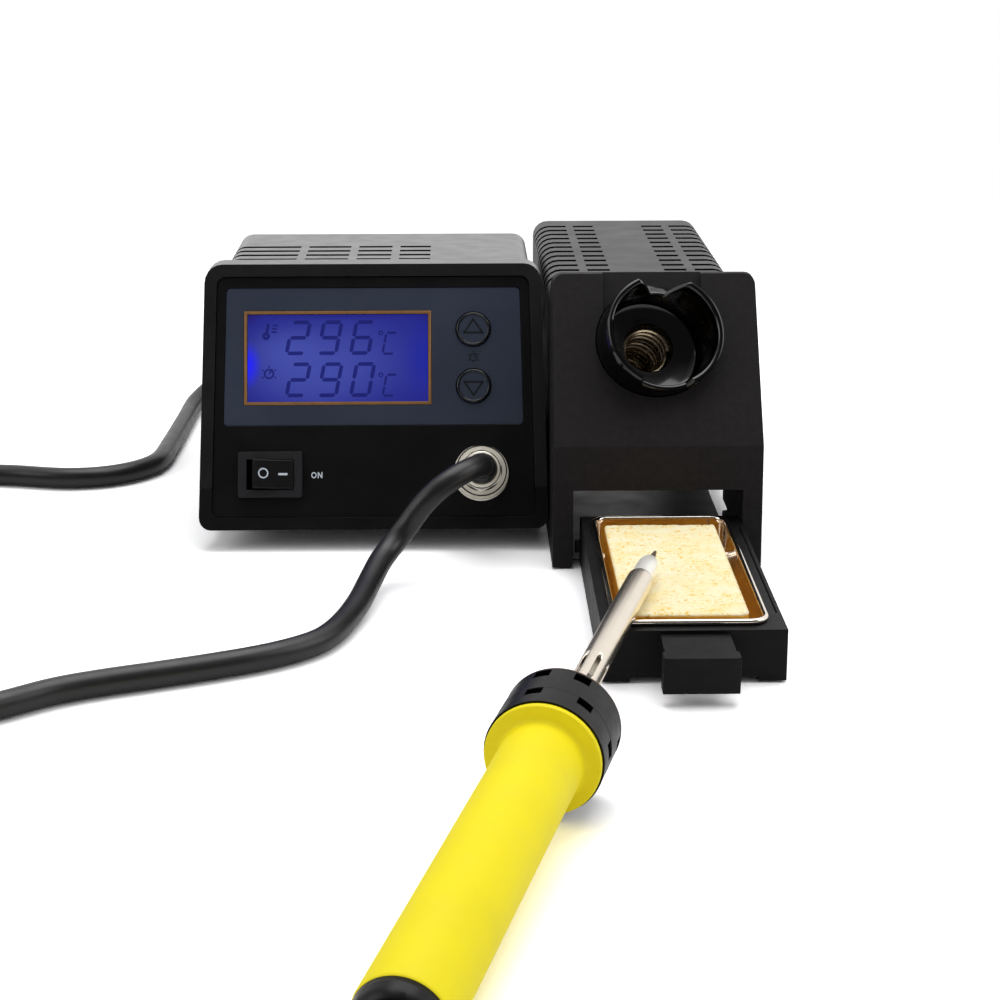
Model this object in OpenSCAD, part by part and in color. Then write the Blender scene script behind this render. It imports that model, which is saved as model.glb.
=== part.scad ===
// Soldering station: a control unit, an iron holder hooked to its right side,
// a sponge drawer that slides out of the holder, and the iron with its lead.
// Millimetres, X to the right, Y to the rear, Z up from the table.
// Pieces are drawn from the front edge of the control unit, midway across it;
// placed() then moves that point so that the origin lies under the middle.

/* [Control unit] */
// Width of the case along its bottom edge
unit_w = 118.3; // [110:0.1:140]
// Depth of the case from its front bottom edge to its rear face
unit_d = 138; // [132:1:170]
// Length of the leaning front face
face_h = 91.2; // [90:0.1:100]
// Angle by which the front face leans back
unit_lean = 22; // [16:1:26]
// Angle by which each side leans in
side_draft = 1.17; // [0:0.01:2]
// Distance of the top cover below the top of the front face
cover_drop = 6.91; // [4:0.01:10]
// Depth of the front frame, measured level
frame_d = 9; // [8.5:0.1:14]
// Distance that the covers stand inside the front frame
cover_step = 2.2; // [1:0.1:4]
// Height of the joint between the tray and the top cover
seam_z = 20.5; // [18:0.5:24]
// Wall of the tray and the cover
unit_wall = 2.4; // [2:0.1:3]
// Height of the rubber feet
feet_h = 7.35; // [5:0.05:10]
// Number of slot rows in the top cover
vent_rows = 8; // [4:1:9]
// Distance from one row of slots to the next
vent_pitch = 8.7; // [7:0.1:9]
// Width of one slot
vent_w = 3.4; // [2:0.1:4.5]

/* [Front panel] */
// Width of the frame rim round the panel
rim_w = 4.4; // [3.6:0.1:6]
// Thickness of the panel
panel_t = 2.4; // [2:0.1:3]
// Depth of the panel face under the frame face
panel_sunk = 0.6; // [0.3:0.1:1.2]
// Lower edge of the display film, up the face
film_low = 35.6; // [33:0.1:38]
// Distance from the display film to the top of the face
film_top = 8; // [7.5:0.1:12]
// Margin from the panel's side to the film
film_margin = 3; // [2:0.1:5]
// Width of the display window
window_w = 61.7; // [50:0.1:66]
// Height of the display window
window_h = 30.3; // [24:0.1:36]
// Sideways place of the window's middle
window_x = -12.15; // [-14:0.05:-8]
// Distance of the window's middle under the film's middle
window_drop = 0.45; // [0:0.05:1]
// [57:0.05:60]
// Radius of a key
key_r = 5.75; // [4:0.05:6.5]
// Sideways place of the keys
key_x = 34.1; // [33:0.1:37]
// Distance from one key's middle to the other's
key_apart = 19.6; // [16:0.1:21]
// Travel of a key
key_travel = 0.6; // [0.3:0.1:0.8]
// Sideways place of the power switch
switch_x = -34.95; // [-38:0.05:-30]
// Height of the switch and the socket up the face
switch_s = 18.85; // [18:0.05:20]
// Width of the switch frame
switch_w = 21.6; // [20:0.1:24]
// Height of the switch frame
switch_h = 15.5; // [14:0.1:17]
// Tilt of the rocker to either side
rocker_tilt = 12; // [8:1:12]
// Sideways place of the socket
socket_x = 36.4; // [32:0.1:40]
// Radius of the socket's flange
socket_flange_r = 9.4; // [9:0.1:10]
// Radius of the socket's body behind the panel
socket_r = 7.6; // [7:0.1:7.9]

/* [Iron holder] */
// Gap between the control unit and the holder
holder_gap = 0.35; // [0.2:0.05:3]
// Width of the holder at the table
holder_w = 69; // [68:0.1:80]
// Distance that the holder's face stands before the unit's edge
holder_reach = 21.1; // [15:0.1:30]
// Height of the fold below the leaning face
fold_z = 41.5; // [38:0.1:50]
// Height of the holder's top edge
holder_top = 92.6; // [88:0.1:100]
// Angle by which the holder's face leans back
holder_lean = 31.65; // [25:0.05:36]
// Depth of the front block behind the unit's front edge
block_d = 30; // [28:1:36]
// Wall of the front block
block_wall = 2.6; // [2:0.1:3.2]
// Width of the tunnel for the drawer
tunnel_w = 55.6; // [55:0.1:60]
// Height of the tunnel
tunnel_h = 26.7; // [22:0.1:28]
// Width of the vented shell
shell_w = 67.6; // [64:0.1:68]
// Height of the vented shell
shell_top = 82; // [78:0.5:86]
// Rear face of the vented shell
shell_d = 187; // [184:1:200]
// Wall of the vented shell
shell_wall = 2.4; // [2:0.1:3]
// Width of the plain spine along the shell's top
spine_w = 19.7; // [14:0.1:24]
// Number of slot rows in the shell
shell_rows = 12; // [6:1:12]
// Distance from one row to the next in the shell
shell_pitch = 9.75; // [8:0.05:10]
// Width of one slot in the shell
shell_slot = 3.6; // [2:0.1:5]
// Place of the funnel up the leaning face
mouth_s = 36.5; // [34:0.1:38]
// Sideways turn of the funnel, towards the right hand
mouth_yaw = 10; // [0:1:12]
// Outer radius of the funnel
funnel_r = 19.4; // [18:0.1:20]
// Wall of the funnel
funnel_wall = 1.9; // [1.5:0.1:2.4]
// Distance that the funnel stands out of the face
funnel_out = 6; // [4:0.1:8]
// Depth of the funnel inside the face
funnel_in = 15; // [12:0.5:18]
// Outer radius of the guide spring
coil_r = 8.3; // [7:0.1:9]
// Wire of the guide spring
coil_wire = 1.6; // [1:0.1:2]
// Distance between turns of the guide spring
coil_pitch = 3.3; // [2.4:0.1:4]
// Turns of the guide spring
coil_turns = 13; // [8:1:14]

/* [Sponge drawer] */
// Width of the drawer
drawer_w = 52.6; // [52:0.1:54]
// Distance of the drawer's middle right of the holder's middle
drawer_off = 1.1; // [0.5:0.1:1.2]
// Length of the drawer
drawer_l = 109.5; // [108:0.5:114]
// Height of the drawer's top above the table
drawer_top = 15.85; // [14:0.05:17]
// Distance that the drawer stays in the holder when it is open
drawer_hold = 7.1; // [6:0.1:10]
// Travel of the drawer
drawer_travel = 95; // [60:1:95]
// Gap between the drawer and the table
drawer_lift = 0.4; // [0.3:0.1:1]
// Width of the pull tab's lip
tab_w = 21.4; // [16:0.1:30]
// Distance that the pull tab stands out
tab_out = 18.5; // [12:0.1:24]
// Width of the sponge dish over its rim
dish_w = 45.2; // [44:0.1:46]
// Length of the sponge dish over its rim
dish_l = 101.6; // [90:0.1:102]
// Radius of the dish's rolled rim
rim_r = 0.9; // [0.6:0.05:1.2]
// Width of the sponge
sponge_w = 35.8; // [30:0.1:42]
// Length of the sponge
sponge_l = 85.5; // [70:0.5:96]
// Height of the sponge's top over the drawer's top
sponge_proud = 2.15; // [0.5:0.05:2.2]

/* [Soldering iron] */
// Turn of the iron to the left of the unit's depth
iron_turn = 16.1; // [10:0.1:20]
// Distance from the iron's tip to the dish's front rim
tip_reach = 43.5; // [30:0.1:50]
// Place where the barrel crosses that rim, from the dish's middle
barrel_cross = -18.6; // [-19:0.1:10]
// Length of the working tip
tip_l = 8.6; // [5:0.1:9]
// Start of the barrel behind the tip's point
barrel_from = 23.5; // [12:0.5:26]
// Radius of the barrel
barrel_r = 3.87; // [3.6:0.01:4.5]
// Wall of the barrel
barrel_wall = 0.5; // [0.3:0.05:0.6]
// Start of the collar behind the tip's point
collar_from = 122; // [100:1:130]
// Length of the collar
collar_l = 19.5; // [14:0.5:24]
// Radius of the collar
collar_r = 14.95; // [14:0.05:15.5]
// Radius of the grip
grip_r = 10.4; // [10:0.1:11]
// Length of the grip behind the collar
grip_l = 114.5; // [100:0.5:130]
// Wall of the rubber grip
grip_wall = 1.8; // [1.4:0.1:2.2]
// Length of the iron's strain relief
relief_l = 34; // [20:1:60]

/* [Leads] */
// Radius of both leads
lead_r = 3.8; // [3:0.1:4]
// Sideways place of the mains lead's gland
gland_x = -22; // [-30:1:-10]
// Height of the gland above the table
gland_z = 32; // [28:1:45]
// Length of the mains lead's strain relief behind the case
gland_l = 33; // [20:1:50]

/* [Hidden] */
$fn = 48;

// Clearances
seam_gap = 0.1;        // half of the gap between tray and cover
slide_gap = 0.3;       // between pieces of different bodies
fit_gap = 0.15;        // round a piece that drops into a pocket
screw_gap = 0.05;      // between a screw and its bore
through = 1;           // how far a cutter runs past a face
embed = 0.5;           // how far a boss runs into its wall

// Control unit
face_top = feet_h + face_h*cos(unit_lean);
cover_z = face_top - cover_drop;
film_high = face_h - film_top;
window_s = (film_low + film_high)/2 - window_drop;
key_up_s = window_s - 0.15 + key_apart/2;
key_down_s = key_up_s - key_apart;
floor_z = feet_h + unit_wall;
panel_back = -panel_sunk - panel_t;
ledge_w = 2.5;
ledge_back = panel_back - 5.2;
film_t = 0.6;
film_sunk = 0.3;
film_front = -panel_sunk - film_sunk;
film_back = film_front - film_t;
bezel_w = 1;
post_x = unit_w/2 - 12.15;
post_rear_y = unit_d - 14;
post_r = 4;
screw_r = 1.5;
head_r = 3;
foot_r = 6.5;
foot_side = 15;
foot_front = 34;
foot_rear = 32;
post_screw_l = 24.7;
rear_groove = 1.2;
rear_t = 2.5;
rear_from = unit_d - 5.2;

// Behind the panel, levels along the face's normal
board_gap = 9;
board_front = panel_back - board_gap;
board_t = 1.6;
board_side = 6.55;
board_top = 8.25;
board_w = unit_w - 2*(cover_step + unit_wall + board_side);
board_h = 2*(face_h - board_top - window_s);
board_screw_x = board_w/2 - 2;
board_screw_s = [window_s - board_h/2 + 2.5, window_s + board_h/2 - 4];
board_head_t = 1.6;
board_rear_y = board_screw_s[1]*sin(unit_lean) - (board_front - board_t - board_head_t)*cos(unit_lean);
post_front_y = board_rear_y + post_r + 2.33;
lcd_back = board_front + 4;
strip_in = 23.3;
strip_h = 2.5;
chip_w = 14;
relay_l = 11;
relay_h = 9;
key_flange = 1.15;
stem_r = 1.8;
stem_end = board_front + 3.1;
well_w = switch_w - 5.7;
well_h = switch_h - 5.1;
switch_body_w = switch_w - 2.4;
switch_body_h = switch_h - 2.5;
switch_back = -15;
rocker_pivot = -2.2;
rocker_l = well_w - 2.3;
rocker_w = well_h - 0.7;
pin_r = 1;
socket_front = 6.5;
socket_back = -16;
ring_from = 1.3;
ring_end = 9.5;
plug_end = 20;

// Holder
holder_x = unit_w/2 + holder_gap + holder_w/2;
holder_draft = 0.55;
holder_foot = 0.4;
leg_pad = 1;
holder_wall_meet = holder_top - 3.09;
shell_from = block_d;
shell_edge = 6;
shell_first = shell_from + 35;
funnel_floor = 2;
coil_mean = coil_r - coil_wire/2;
coil_off = -1;
ear_x = funnel_r + 5;
ear_r = 3.4;
ear_t = 2.6;
ear_back = 0.4 - funnel_in;
link_ys = [60, 110];
link_w = 14;
link_z0 = 10.2;
link_z1 = 14.7;

// Drawer
drawer_x = holder_x + drawer_off;
drawer_rear = -holder_reach + drawer_hold;
drawer_front = drawer_rear - drawer_l;
lug_l = 4.3;
lug_z = 4.6;
lug_h = 3.4;
lug_out = 1.7;
dish_x = drawer_x - 0.7;
dish_front = drawer_front + 3.3;
dish_corner = 6;
dish_wall = 0.6;
dish_depth = 12.1;
dish_floor = drawer_top - dish_depth;
rim_top = drawer_top + 2*rim_r;

// Iron: it rests on the dish's front rim and on the rear end of its grip
rest_gap = 0.4;
grip_end = collar_from + collar_l + grip_l;
iron_end = grip_end + 6 + relief_l;
rest_span = grip_end - tip_reach;
iron_dip = asin(rim_top/norm([rest_span, grip_r - barrel_r])) - atan2(grip_r - barrel_r, rest_span);
tip_x = dish_x + barrel_cross + tip_reach*cos(iron_dip)*sin(iron_turn);
tip_y = dish_front + rim_r + tip_reach*cos(iron_dip)*cos(iron_turn);
tip_z = rim_top + rest_gap + barrel_r*cos(iron_dip) + tip_reach*sin(iron_dip);
iron_end_y = tip_y - iron_end*cos(iron_dip)*cos(iron_turn);

// The origin lies under the middle of the whole part
origin_x = (holder_x + holder_w/2 - unit_w/2)/2;
origin_y = (shell_d + iron_end_y)/2;

// Routes of the leads, chosen by hand
iron_route = [
  [36.4, -11.5, 32.35], [36.4, -14.6, 33.6], [34.8, -18.5, 34.5], [31.1, -23.4, 34.3],
  [26.1, -27.3, 32.4], [21, -29.5, 28.9], [16.4, -30.2, 24.1], [12.8, -30.4, 19.1],
  [9.2, -32.2, 14.8], [6, -36, 11.7], [3.7, -41.2, 9.8], [1.7, -48.7, 8], [0, -56.3, 6.5],
  [-2.3, -67.9, 5.1], [-5.3, -79.4, 4.2], [-8.6, -90, 4], [-12.6, -97.8, 3.9],
  [-18.4, -104, 3.9], [-28, -110.7, 3.9], [-42, -117.5, 3.9], [-57, -123.7, 3.9],
  [-71, -129.2, 3.9], [-83, -135.2, 3.9], [-94.5, -144.2, 3.9], [-108, -154.4, 3.9],
  [-122.5, -165.5, 3.9], [-138, -178, 3.9],
  [-149, -187.2, 3.9], [-159, -195.6, 3.9]];
iron_return_route = [
  [-146, -299, 9.4], [-133, -308, 7], [-120, -317.2, 4.8], [-106, -327, 3.9],
  [-91, -337.6, 3.9], [-76, -348, 3.9], [-61, -358.6, 3.9], [-46, -369, 3.9],
  [-36, -376, 3.9], [-27.4, -381.6, 3.9], [-18, -384.8, 4], [-8.4, -383.8, 4.9],
  [-1, -378.8, 6.4], [3, -371.6, 8], [5.8, -361.9, 8.7]];
mains_route = [
  [-22, 170, 32], [-22, 176, 32], [-22.8, 182, 31.6], [-25.2, 190.4, 30.7], [-29.7, 198.8, 28.9],
  [-36.4, 206.4, 26.2], [-44.7, 211.3, 22.8], [-54, 213.2, 18.9], [-63.2, 211.6, 14.8],
  [-71.4, 206.8, 11.1], [-77.9, 199.4, 7.9], [-81.8, 190.2, 5.5], [-83.2, 180, 4.2],
  [-83.5, 166, 3.9], [-83.9, 150, 3.9], [-84.3, 134, 3.9], [-84.8, 120.6, 3.9],
  [-85.3, 107.5, 3.9], [-87.5, 96.5, 3.9], [-93.6, 87, 3.9], [-102.4, 80.7, 3.9],
  [-111, 78.3, 3.9], [-119.5, 78.2, 3.9], [-128, 80, 3.9], [-137, 82.3, 3.9],
  [-146.5, 83.4, 3.9], [-157, 82.6, 3.9], [-171, 79, 3.9],
  [-184, 74.4, 3.9], [-193, 70.6, 3.9], [-203, 66.8, 3.9]];
iron_coil_at = [-143, -246];
iron_coil_r = 45;
mains_coil_at = [-205.7, 17.2];
mains_coil_r = 42;
two_turns = 16.2;
lead_sides = 8;

// ---------- helpers ----------
module placed() translate([-origin_x, -origin_y, 0]) children();

// Half width of the unit at height z, and how far its face leans back there
function half(z) = unit_w/2 - (z - feet_h)*tan(side_draft);
function lean_y(z) = (z - feet_h)*tan(unit_lean);
function face_half(s) = unit_w/2 - s*cos(unit_lean)*tan(side_draft);
function holder_half(z) = holder_w/2 - z*tan(holder_draft);

// Corner b between a and c, rounded by n chords
function corner(a, b, c, r, n) =
  let(u = (a - b)/norm(a - b), v = (c - b)/norm(c - b), h = acos(u*v)/2,
      o = b + (u + v)/norm(u + v)*r/sin(h), p = b + u*r/tan(h) - o,
      start = atan2(p.y, p.x), turn = sign(cross(b - a, c - b))*(180 - 2*h))
  [for (i = [0:n]) o + r*[cos(start + turn*i/n), sin(start + turn*i/n)]];
function rounded(p, radii, n = 5) =
  [for (i = [0:len(p) - 1])
    each radii[i] == 0 ? [p[i]] : corner(p[(i + len(p) - 1) % len(p)], p[i], p[(i + 1) % len(p)], radii[i], n)];

// Drawing in the plane across X and Z, run along Y; and in Y and Z, run along X
module along_y(y0, y1) translate([0, y1, 0]) rotate([90, 0, 0]) linear_extrude(y1 - y0) children();
module along_x(x0, x1) translate([x0, 0, 0]) rotate([90, 0, 90]) linear_extrude(x1 - x0) children();

// A box between two corners
module block(p, q) translate(p) cube(q - p);

// Local frames: X right, Y up the leaning face, Z out of it
module face() translate([0, 0, feet_h]) rotate([90 - unit_lean, 0, 0]) children();
module holder_face() translate([holder_x, -holder_reach, fold_z]) rotate([90 - holder_lean, 0, 0]) children();
module mouth() holder_face() translate([0, mouth_s, 0]) rotate([0, mouth_yaw, 0]) children();
module iron() translate([tip_x, tip_y, tip_z]) rotate([0, 90 + iron_dip, -90 - iron_turn]) children();

// A solid or a bore between two levels on the local Z axis
module rod(z0, z1, r) translate([0, 0, z0]) cylinder(h = z1 - z0, r = r);
module cone(z0, z1, r0, r1) translate([0, 0, z0]) cylinder(h = z1 - z0, r1 = r0, r2 = r1);
module pipe(z0, z1, r, bore) difference() {
  rod(z0, z1, r);
  rod(z0 - through, z1 + through, bore);
}
module slab(x, y, w, h, z0, z1) translate([x - w/2, y - h/2, z0]) cube([w, h, z1 - z0]);
module rounded_slab(w, l, r, z0, z1) translate([0, 0, z0]) linear_extrude(z1 - z0) {
  square([w - 2*r, l], center = true);
  square([w, l - 2*r], center = true);
  for (x = [-1, 1], y = [-1, 1]) translate([x*(w/2 - r), y*(l/2 - r)]) circle(r);
}

// Tube swept along a list of points
function way(p, i) = let(a = p[max(i - 1, 0)], b = p[min(i + 1, len(p) - 1)]) (b - a)/norm(b - a);
function ring(c, t, up, r, n) =
  let(u = cross(t, up)/norm(cross(t, up)), v = cross(u, t))
  [for (k = [0:n - 1]) c + r*(cos(360*k/n)*u + sin(360*k/n)*v)];
module sweep(path, r, sides, up = [0, 0, 1]) {
  last = len(path) - 1;
  polyhedron(
    points = [for (i = [0:last]) each ring(path[i], way(path, i), up, r, sides)],
    faces = concat(
      [[for (k = [0:sides - 1]) k]],
      [[for (k = [sides - 1:-1:0]) last*sides + k]],
      [for (i = [0:last - 1], k = [0:sides - 1])
        let(a = i*sides + k, b = i*sides + (k + 1) % sides)
        each [[a, a + sides, b], [b, a + sides, b + sides]]]));
}
function helix(r, pitch, turns, n) =
  [for (i = [0:turns*n]) [r*cos(360*i/n), r*sin(360*i/n), pitch*i/n]];

// ---------- control unit ----------
module unit_outline(inset, z0, z1, r0, r1)
  polygon(rounded([[-half(z0) + inset, z0], [half(z0) - inset, z0], [half(z1) - inset, z1],
    [-half(z1) + inset, z1]], [r0, r0, r1, r1]));

module unit_side(y_off, y1, z0, z1)
  along_x(-unit_w, unit_w) polygon([[lean_y(z0) + y_off, z0], [y1, z0], [y1, z1], [lean_y(z1) + y_off, z1]]);

module face_outline(inset, r)
  let(a = face_half(inset) - inset, b = face_half(face_h - inset) - inset)
  polygon(rounded([[-a, inset], [a, inset], [b, face_h - inset], [-b, face_h - inset]], [r, r, r, r]));

module case_shell() difference() {
  union() {
    intersection() {
      along_y(-through, unit_d) unit_outline(0, feet_h, face_top, 4, 6);
      along_x(-unit_w, unit_w) polygon([[0, feet_h], [frame_d, feet_h],
        [lean_y(face_top) + frame_d, face_top], [lean_y(face_top), face_top]]);
    }
    intersection() {
      along_y(0, unit_d) unit_outline(cover_step, feet_h, cover_z, 3, 5);
      unit_side(frame_d - embed, unit_d, feet_h, cover_z);
    }
  }
  intersection() {
    along_y(0, unit_d + through) unit_outline(cover_step + unit_wall, floor_z, cover_z - unit_wall, 1, 3);
    unit_side(-ledge_back/cos(unit_lean), unit_d + through, floor_z, cover_z - unit_wall);
  }
  along_y(rear_from - seam_gap, rear_from + rear_t + seam_gap)
    unit_outline(cover_step + unit_wall - rear_groove, floor_z - rear_groove,
      cover_z - unit_wall + rear_groove, 1, 3);
  face() translate([0, 0, panel_back]) linear_extrude(panel_t + 4) face_outline(rim_w - fit_gap, 3);
  face() translate([0, 0, ledge_back - fit_gap]) linear_extrude(8) face_outline(rim_w + ledge_w, 2);
}

module base_tray() color("#1b1b1d") placed() {
  difference() {
    union() {
      intersection() {
        case_shell();
        block([-unit_w, -through, 0], [unit_w, unit_d + through, seam_z - seam_gap]);
      }
      for (x = [-post_x, post_x], y = [post_front_y, post_rear_y])
        translate([x, y, 0]) rod(floor_z - embed, seam_z - seam_gap, post_r);
      for (x = transformer_lugs)
        translate([x, transformer_y, 0]) rod(floor_z - embed, lug_top, post_r);
    }
    for (x = [-post_x, post_x], y = [post_front_y, post_rear_y]) translate([x, y, 0]) {
      rod(0, seam_z, screw_r + screw_gap);
      rod(0, feet_h + 2.6, head_r + fit_gap);
    }
    for (x = transformer_lugs) translate([x, transformer_y, 0]) rod(floor_z, lug_top + 1, screw_r + screw_gap);
    for (y = link_ys) link_slot(y);
  }
}

module top_cover() color("#1b1b1d") placed() difference() {
  union() {
    difference() {
      intersection() {
        case_shell();
        block([-unit_w, -through, seam_z + seam_gap], [unit_w, unit_d + through, face_top + 1]);
      }
      for (i = [0:vent_rows - 1]) unit_slots(unit_d - 29.5 - i*vent_pitch);
    }
    for (x = [-post_x, post_x], y = [post_front_y, post_rear_y])
      translate([x, y, 0]) rod(seam_z + seam_gap, cover_z - unit_wall + embed, post_r);
  }
  for (x = [-post_x, post_x], y = [post_front_y, post_rear_y])
    translate([x, y, 0]) rod(seam_z, feet_h + post_screw_l + 4, screw_r + screw_gap);
}

// One row of slots: it wraps over the left edge and is cut by three ribs
slot_side_z = 62;
unit_ribs = [-28.3, -9.5, 6];
unit_slots_end = 18.9;
module unit_slots(y) {
  rib = 1.5;
  block([-unit_w, y - vent_w/2, slot_side_z], [unit_ribs[0] - rib, y + vent_w/2, cover_z + through]);
  for (i = [0:2])
    block([unit_ribs[i] + rib, y - vent_w/2, slot_side_z],
      [i < 2 ? unit_ribs[i + 1] - rib : unit_slots_end, y + vent_w/2, cover_z + through]);
}

module front_panel() color("#151517") placed() face() difference() {
  union() {
    translate([0, 0, panel_back]) linear_extrude(panel_t) face_outline(rim_w, 3);
    for (x = [-board_screw_x, board_screw_x], s = board_screw_s)
      translate([x, s, 0]) rod(board_front, panel_back + embed, 2.2);
  }
  translate([0, 0, film_back]) linear_extrude(2) film_outline(0);
  slab(window_x, window_s, window_w + 0.2, window_h + 0.2, panel_back - 1, 1);
  for (s = [key_up_s, key_down_s]) translate([key_x, s, 0]) rod(panel_back - 1, 1, key_r + slide_gap);
  slab(switch_x, switch_s, switch_body_w + 0.2, switch_body_h + 0.2, panel_back - 1, 1);
  translate([socket_x, switch_s, 0]) rod(panel_back - 1, 1, socket_r + slide_gap);
  for (x = [-board_screw_x, board_screw_x], s = board_screw_s)
    translate([x, s, 0]) rod(board_front - 1, board_front + 6, 1.2 + screw_gap);
}

module film_outline(gap)
  let(a = face_half(film_low) - rim_w - film_margin - gap, b = face_half(film_high) - rim_w - film_margin - gap)
  polygon(rounded([[-a, film_low + gap], [a, film_low + gap], [b, film_high - gap], [-b, film_high - gap]],
    [1.5, 1.5, 1.5, 1.5]));

module display_overlay() color("#333c4c") placed() face() difference() {
  translate([0, 0, film_back]) linear_extrude(film_t) film_outline(seam_gap);
  slab(window_x, window_s, window_w + 2*bezel_w + 0.2, window_h + 2*bezel_w + 0.2, film_back - 1, 1);
  for (s = [key_up_s, key_down_s]) translate([key_x, s, 0]) rod(film_back - 1, 1, key_r + slide_gap);
}

module display_bezel() color("#8f6f3f") placed() face() difference() {
  slab(window_x, window_s, window_w + 2*bezel_w, window_h + 2*bezel_w, film_back, film_front + 0.1);
  slab(window_x, window_s, window_w, window_h, film_back - 1, 1);
}

module lcd_module() color("#3b3f9c") placed() face() {
  slab(window_x, window_s, window_w - 0.2, window_h - 0.2, lcd_back, film_back - 0.1);
  slab(window_x, window_s, window_w + 2.7, window_h + 2.9, lcd_back, panel_back - 0.3);
  for (s = [-1, 1])
    slab(window_x, window_s + s*(window_h/2 - 1), window_w - strip_in, strip_h, board_front, lcd_back);
}

module control_board() color("#1f5c37") placed() face() difference() {
  union() {
    slab(0, window_s, board_w, board_h, board_front - board_t, board_front);
    slab(-2*relay_l, window_s + board_h/4 - 4, 9, board_h/2, board_front - board_t - 3, board_front - board_t);
    slab(2, window_s - 6, chip_w, chip_w, board_front - board_t - 2.4, board_front - board_t);
    slab(board_w/2 - 2*relay_l, window_s - 8, relay_l + 1, chip_w + 2, board_front - board_t - relay_h, board_front - board_t);
    for (x = [-6, 6]) translate([x, window_s + board_h/2 - 10, 0])
      rod(board_front - board_t - relay_h, board_front - board_t, 3.5);
  }
  for (x = [-board_screw_x, board_screw_x], s = board_screw_s)
    translate([x, s, 0]) rod(board_front - board_t - 1, board_front + 1, 1.4);
}

module board_screws() color("#b9bcc0") placed() face()
  for (x = [-board_screw_x, board_screw_x], s = board_screw_s) translate([x, s, 0]) {
    rod(board_front - board_t, board_front + 5, 1.2);
    rod(board_front - board_t - board_head_t, board_front - board_t, 2.4);
  }

// ---------- transformer ----------
transformer_x = -22;
transformer_y = 85;
lug_x = 28.5;
transformer_lugs = [transformer_x - lug_x, transformer_x + lug_x];
core_w = 50;
core_h = 42;
core_t = 22;
lug_top = 12.5;
core_z = lug_top + 1.5;

module transformer_core() color("#4a4d50") placed() translate([transformer_x, transformer_y, 0]) {
  difference() {
    block([-core_w/2, -core_t/2, core_z], [core_w/2, core_t/2, core_z + core_h]);
    for (x = [-1, 1]) slab(x*12.5, 0, 9, core_t + 2, core_z + 8, core_z + core_h - 8);
  }
  difference() {
    slab(0, 0, 2*lug_x + 6, core_t, lug_top, core_z);
    for (x = [-lug_x, lug_x]) translate([x, 0, 0]) rod(lug_top - 1, core_z + 1, screw_r + 0.2);
  }
}

module transformer_coil() color("#b5742a") placed() translate([transformer_x, transformer_y, 0]) difference() {
  slab(0, 0, 33.4, 39.4, core_z + 8.3, core_z + core_h - 8.3);
  slab(0, 0, 16.4, core_t + 0.4, core_z, core_z + core_h);
}

module transformer_screws() color("#b9bcc0") placed()
  for (x = transformer_lugs) translate([x, transformer_y, 0]) {
    rod(floor_z + 0.2, core_z, screw_r);
    rod(core_z, core_z + 2, 2.8);
  }

// ---------- keys and switch ----------
module key(s) placed() face() translate([key_x, s, 0]) {
  rod(panel_back - slide_gap - embed, -0.2, key_r);
  rod(panel_back - slide_gap - 1.1, panel_back - slide_gap, key_r + key_flange);
  rod(stem_end, panel_back - slide_gap, stem_r);
}
module button_up() color("#2a3038") key(key_up_s);
module button_down() color("#2a3038") key(key_down_s);

module tact_switches() color("#3a3a3c") placed() face()
  for (s = [key_up_s, key_down_s]) translate([key_x, s, 0]) difference() {
    slab(0, 0, 6.2, 6.2, board_front, board_front + 4);
    rod(stem_end - key_travel - slide_gap, board_front + 5, stem_r + slide_gap);
  }

module switch_place() face() translate([switch_x, switch_s, 0]) children();
module switch_frame() color("#131314") placed() switch_place() difference() {
  union() {
    rounded_slab(switch_w, switch_h, 0.8, -panel_sunk, 1.2);
    slab(0, 0, switch_body_w, switch_body_h, switch_back, -panel_sunk);
  }
  slab(0, 0, well_w, well_h, switch_back + 2, 2);
  translate([0, 0, rocker_pivot]) rotate([90, 0, 0])
    translate([0, 0, -switch_body_h/2 + seam_gap]) cylinder(h = switch_body_h - 2*seam_gap, r = pin_r + screw_gap);
}

module rocker() color("#1a1a1b") placed() switch_place() translate([0, 0, rocker_pivot]) rotate([0, rocker_tilt, 0]) {
  rotate([90, 0, 0]) linear_extrude(rocker_w, center = true)
    polygon([[-rocker_l/2, 5.6], [0, 4.4], [rocker_l/2, 5.6], [rocker_l/2 - 0.4, -0.4], [3, -2], [-3, -2],
      [-rocker_l/2 + 0.4, -0.4]]);
  rotate([90, 0, 0]) cylinder(h = switch_body_h - 0.8, r = pin_r, center = true);
}

module switch_terminals() color("#b9bcc0") placed() switch_place()
  for (x = [-6.5, 0, 6.5]) slab(x, 0, 0.8, 4.8, switch_back - 8, switch_back);

// ---------- socket and plug ----------
module socket_place() face() translate([socket_x, switch_s, 0]) children();
module socket_body() color("#c9cacc") placed() socket_place() difference() {
  union() {
    rod(-panel_sunk, 0.9, socket_flange_r);
    rod(socket_back, 0, socket_r);
    rod(0, socket_front, socket_r - 0.2);
  }
  rod(socket_back + 2, socket_front + 1, 5.4);
}

module socket_nut() color("#b9bcc0") placed() socket_place() difference() {
  translate([0, 0, panel_back - 3]) cylinder(h = 3, r = 10.4, $fn = 6);
  rod(panel_back - 4, panel_back + 1, socket_r + screw_gap);
}

module plug_ring() color("#d2d3d5") placed() socket_place() difference() {
  union() {
    rod(ring_from, 5.6, socket_flange_r - 0.3);
    rod(5, 6.4, socket_flange_r - 1);
    rod(6, ring_end, socket_flange_r - 0.8);
  }
  rod(ring_from - 1, 8.2, socket_r - 0.1);
  rod(8, ring_end + 1, 6.2);
}

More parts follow.
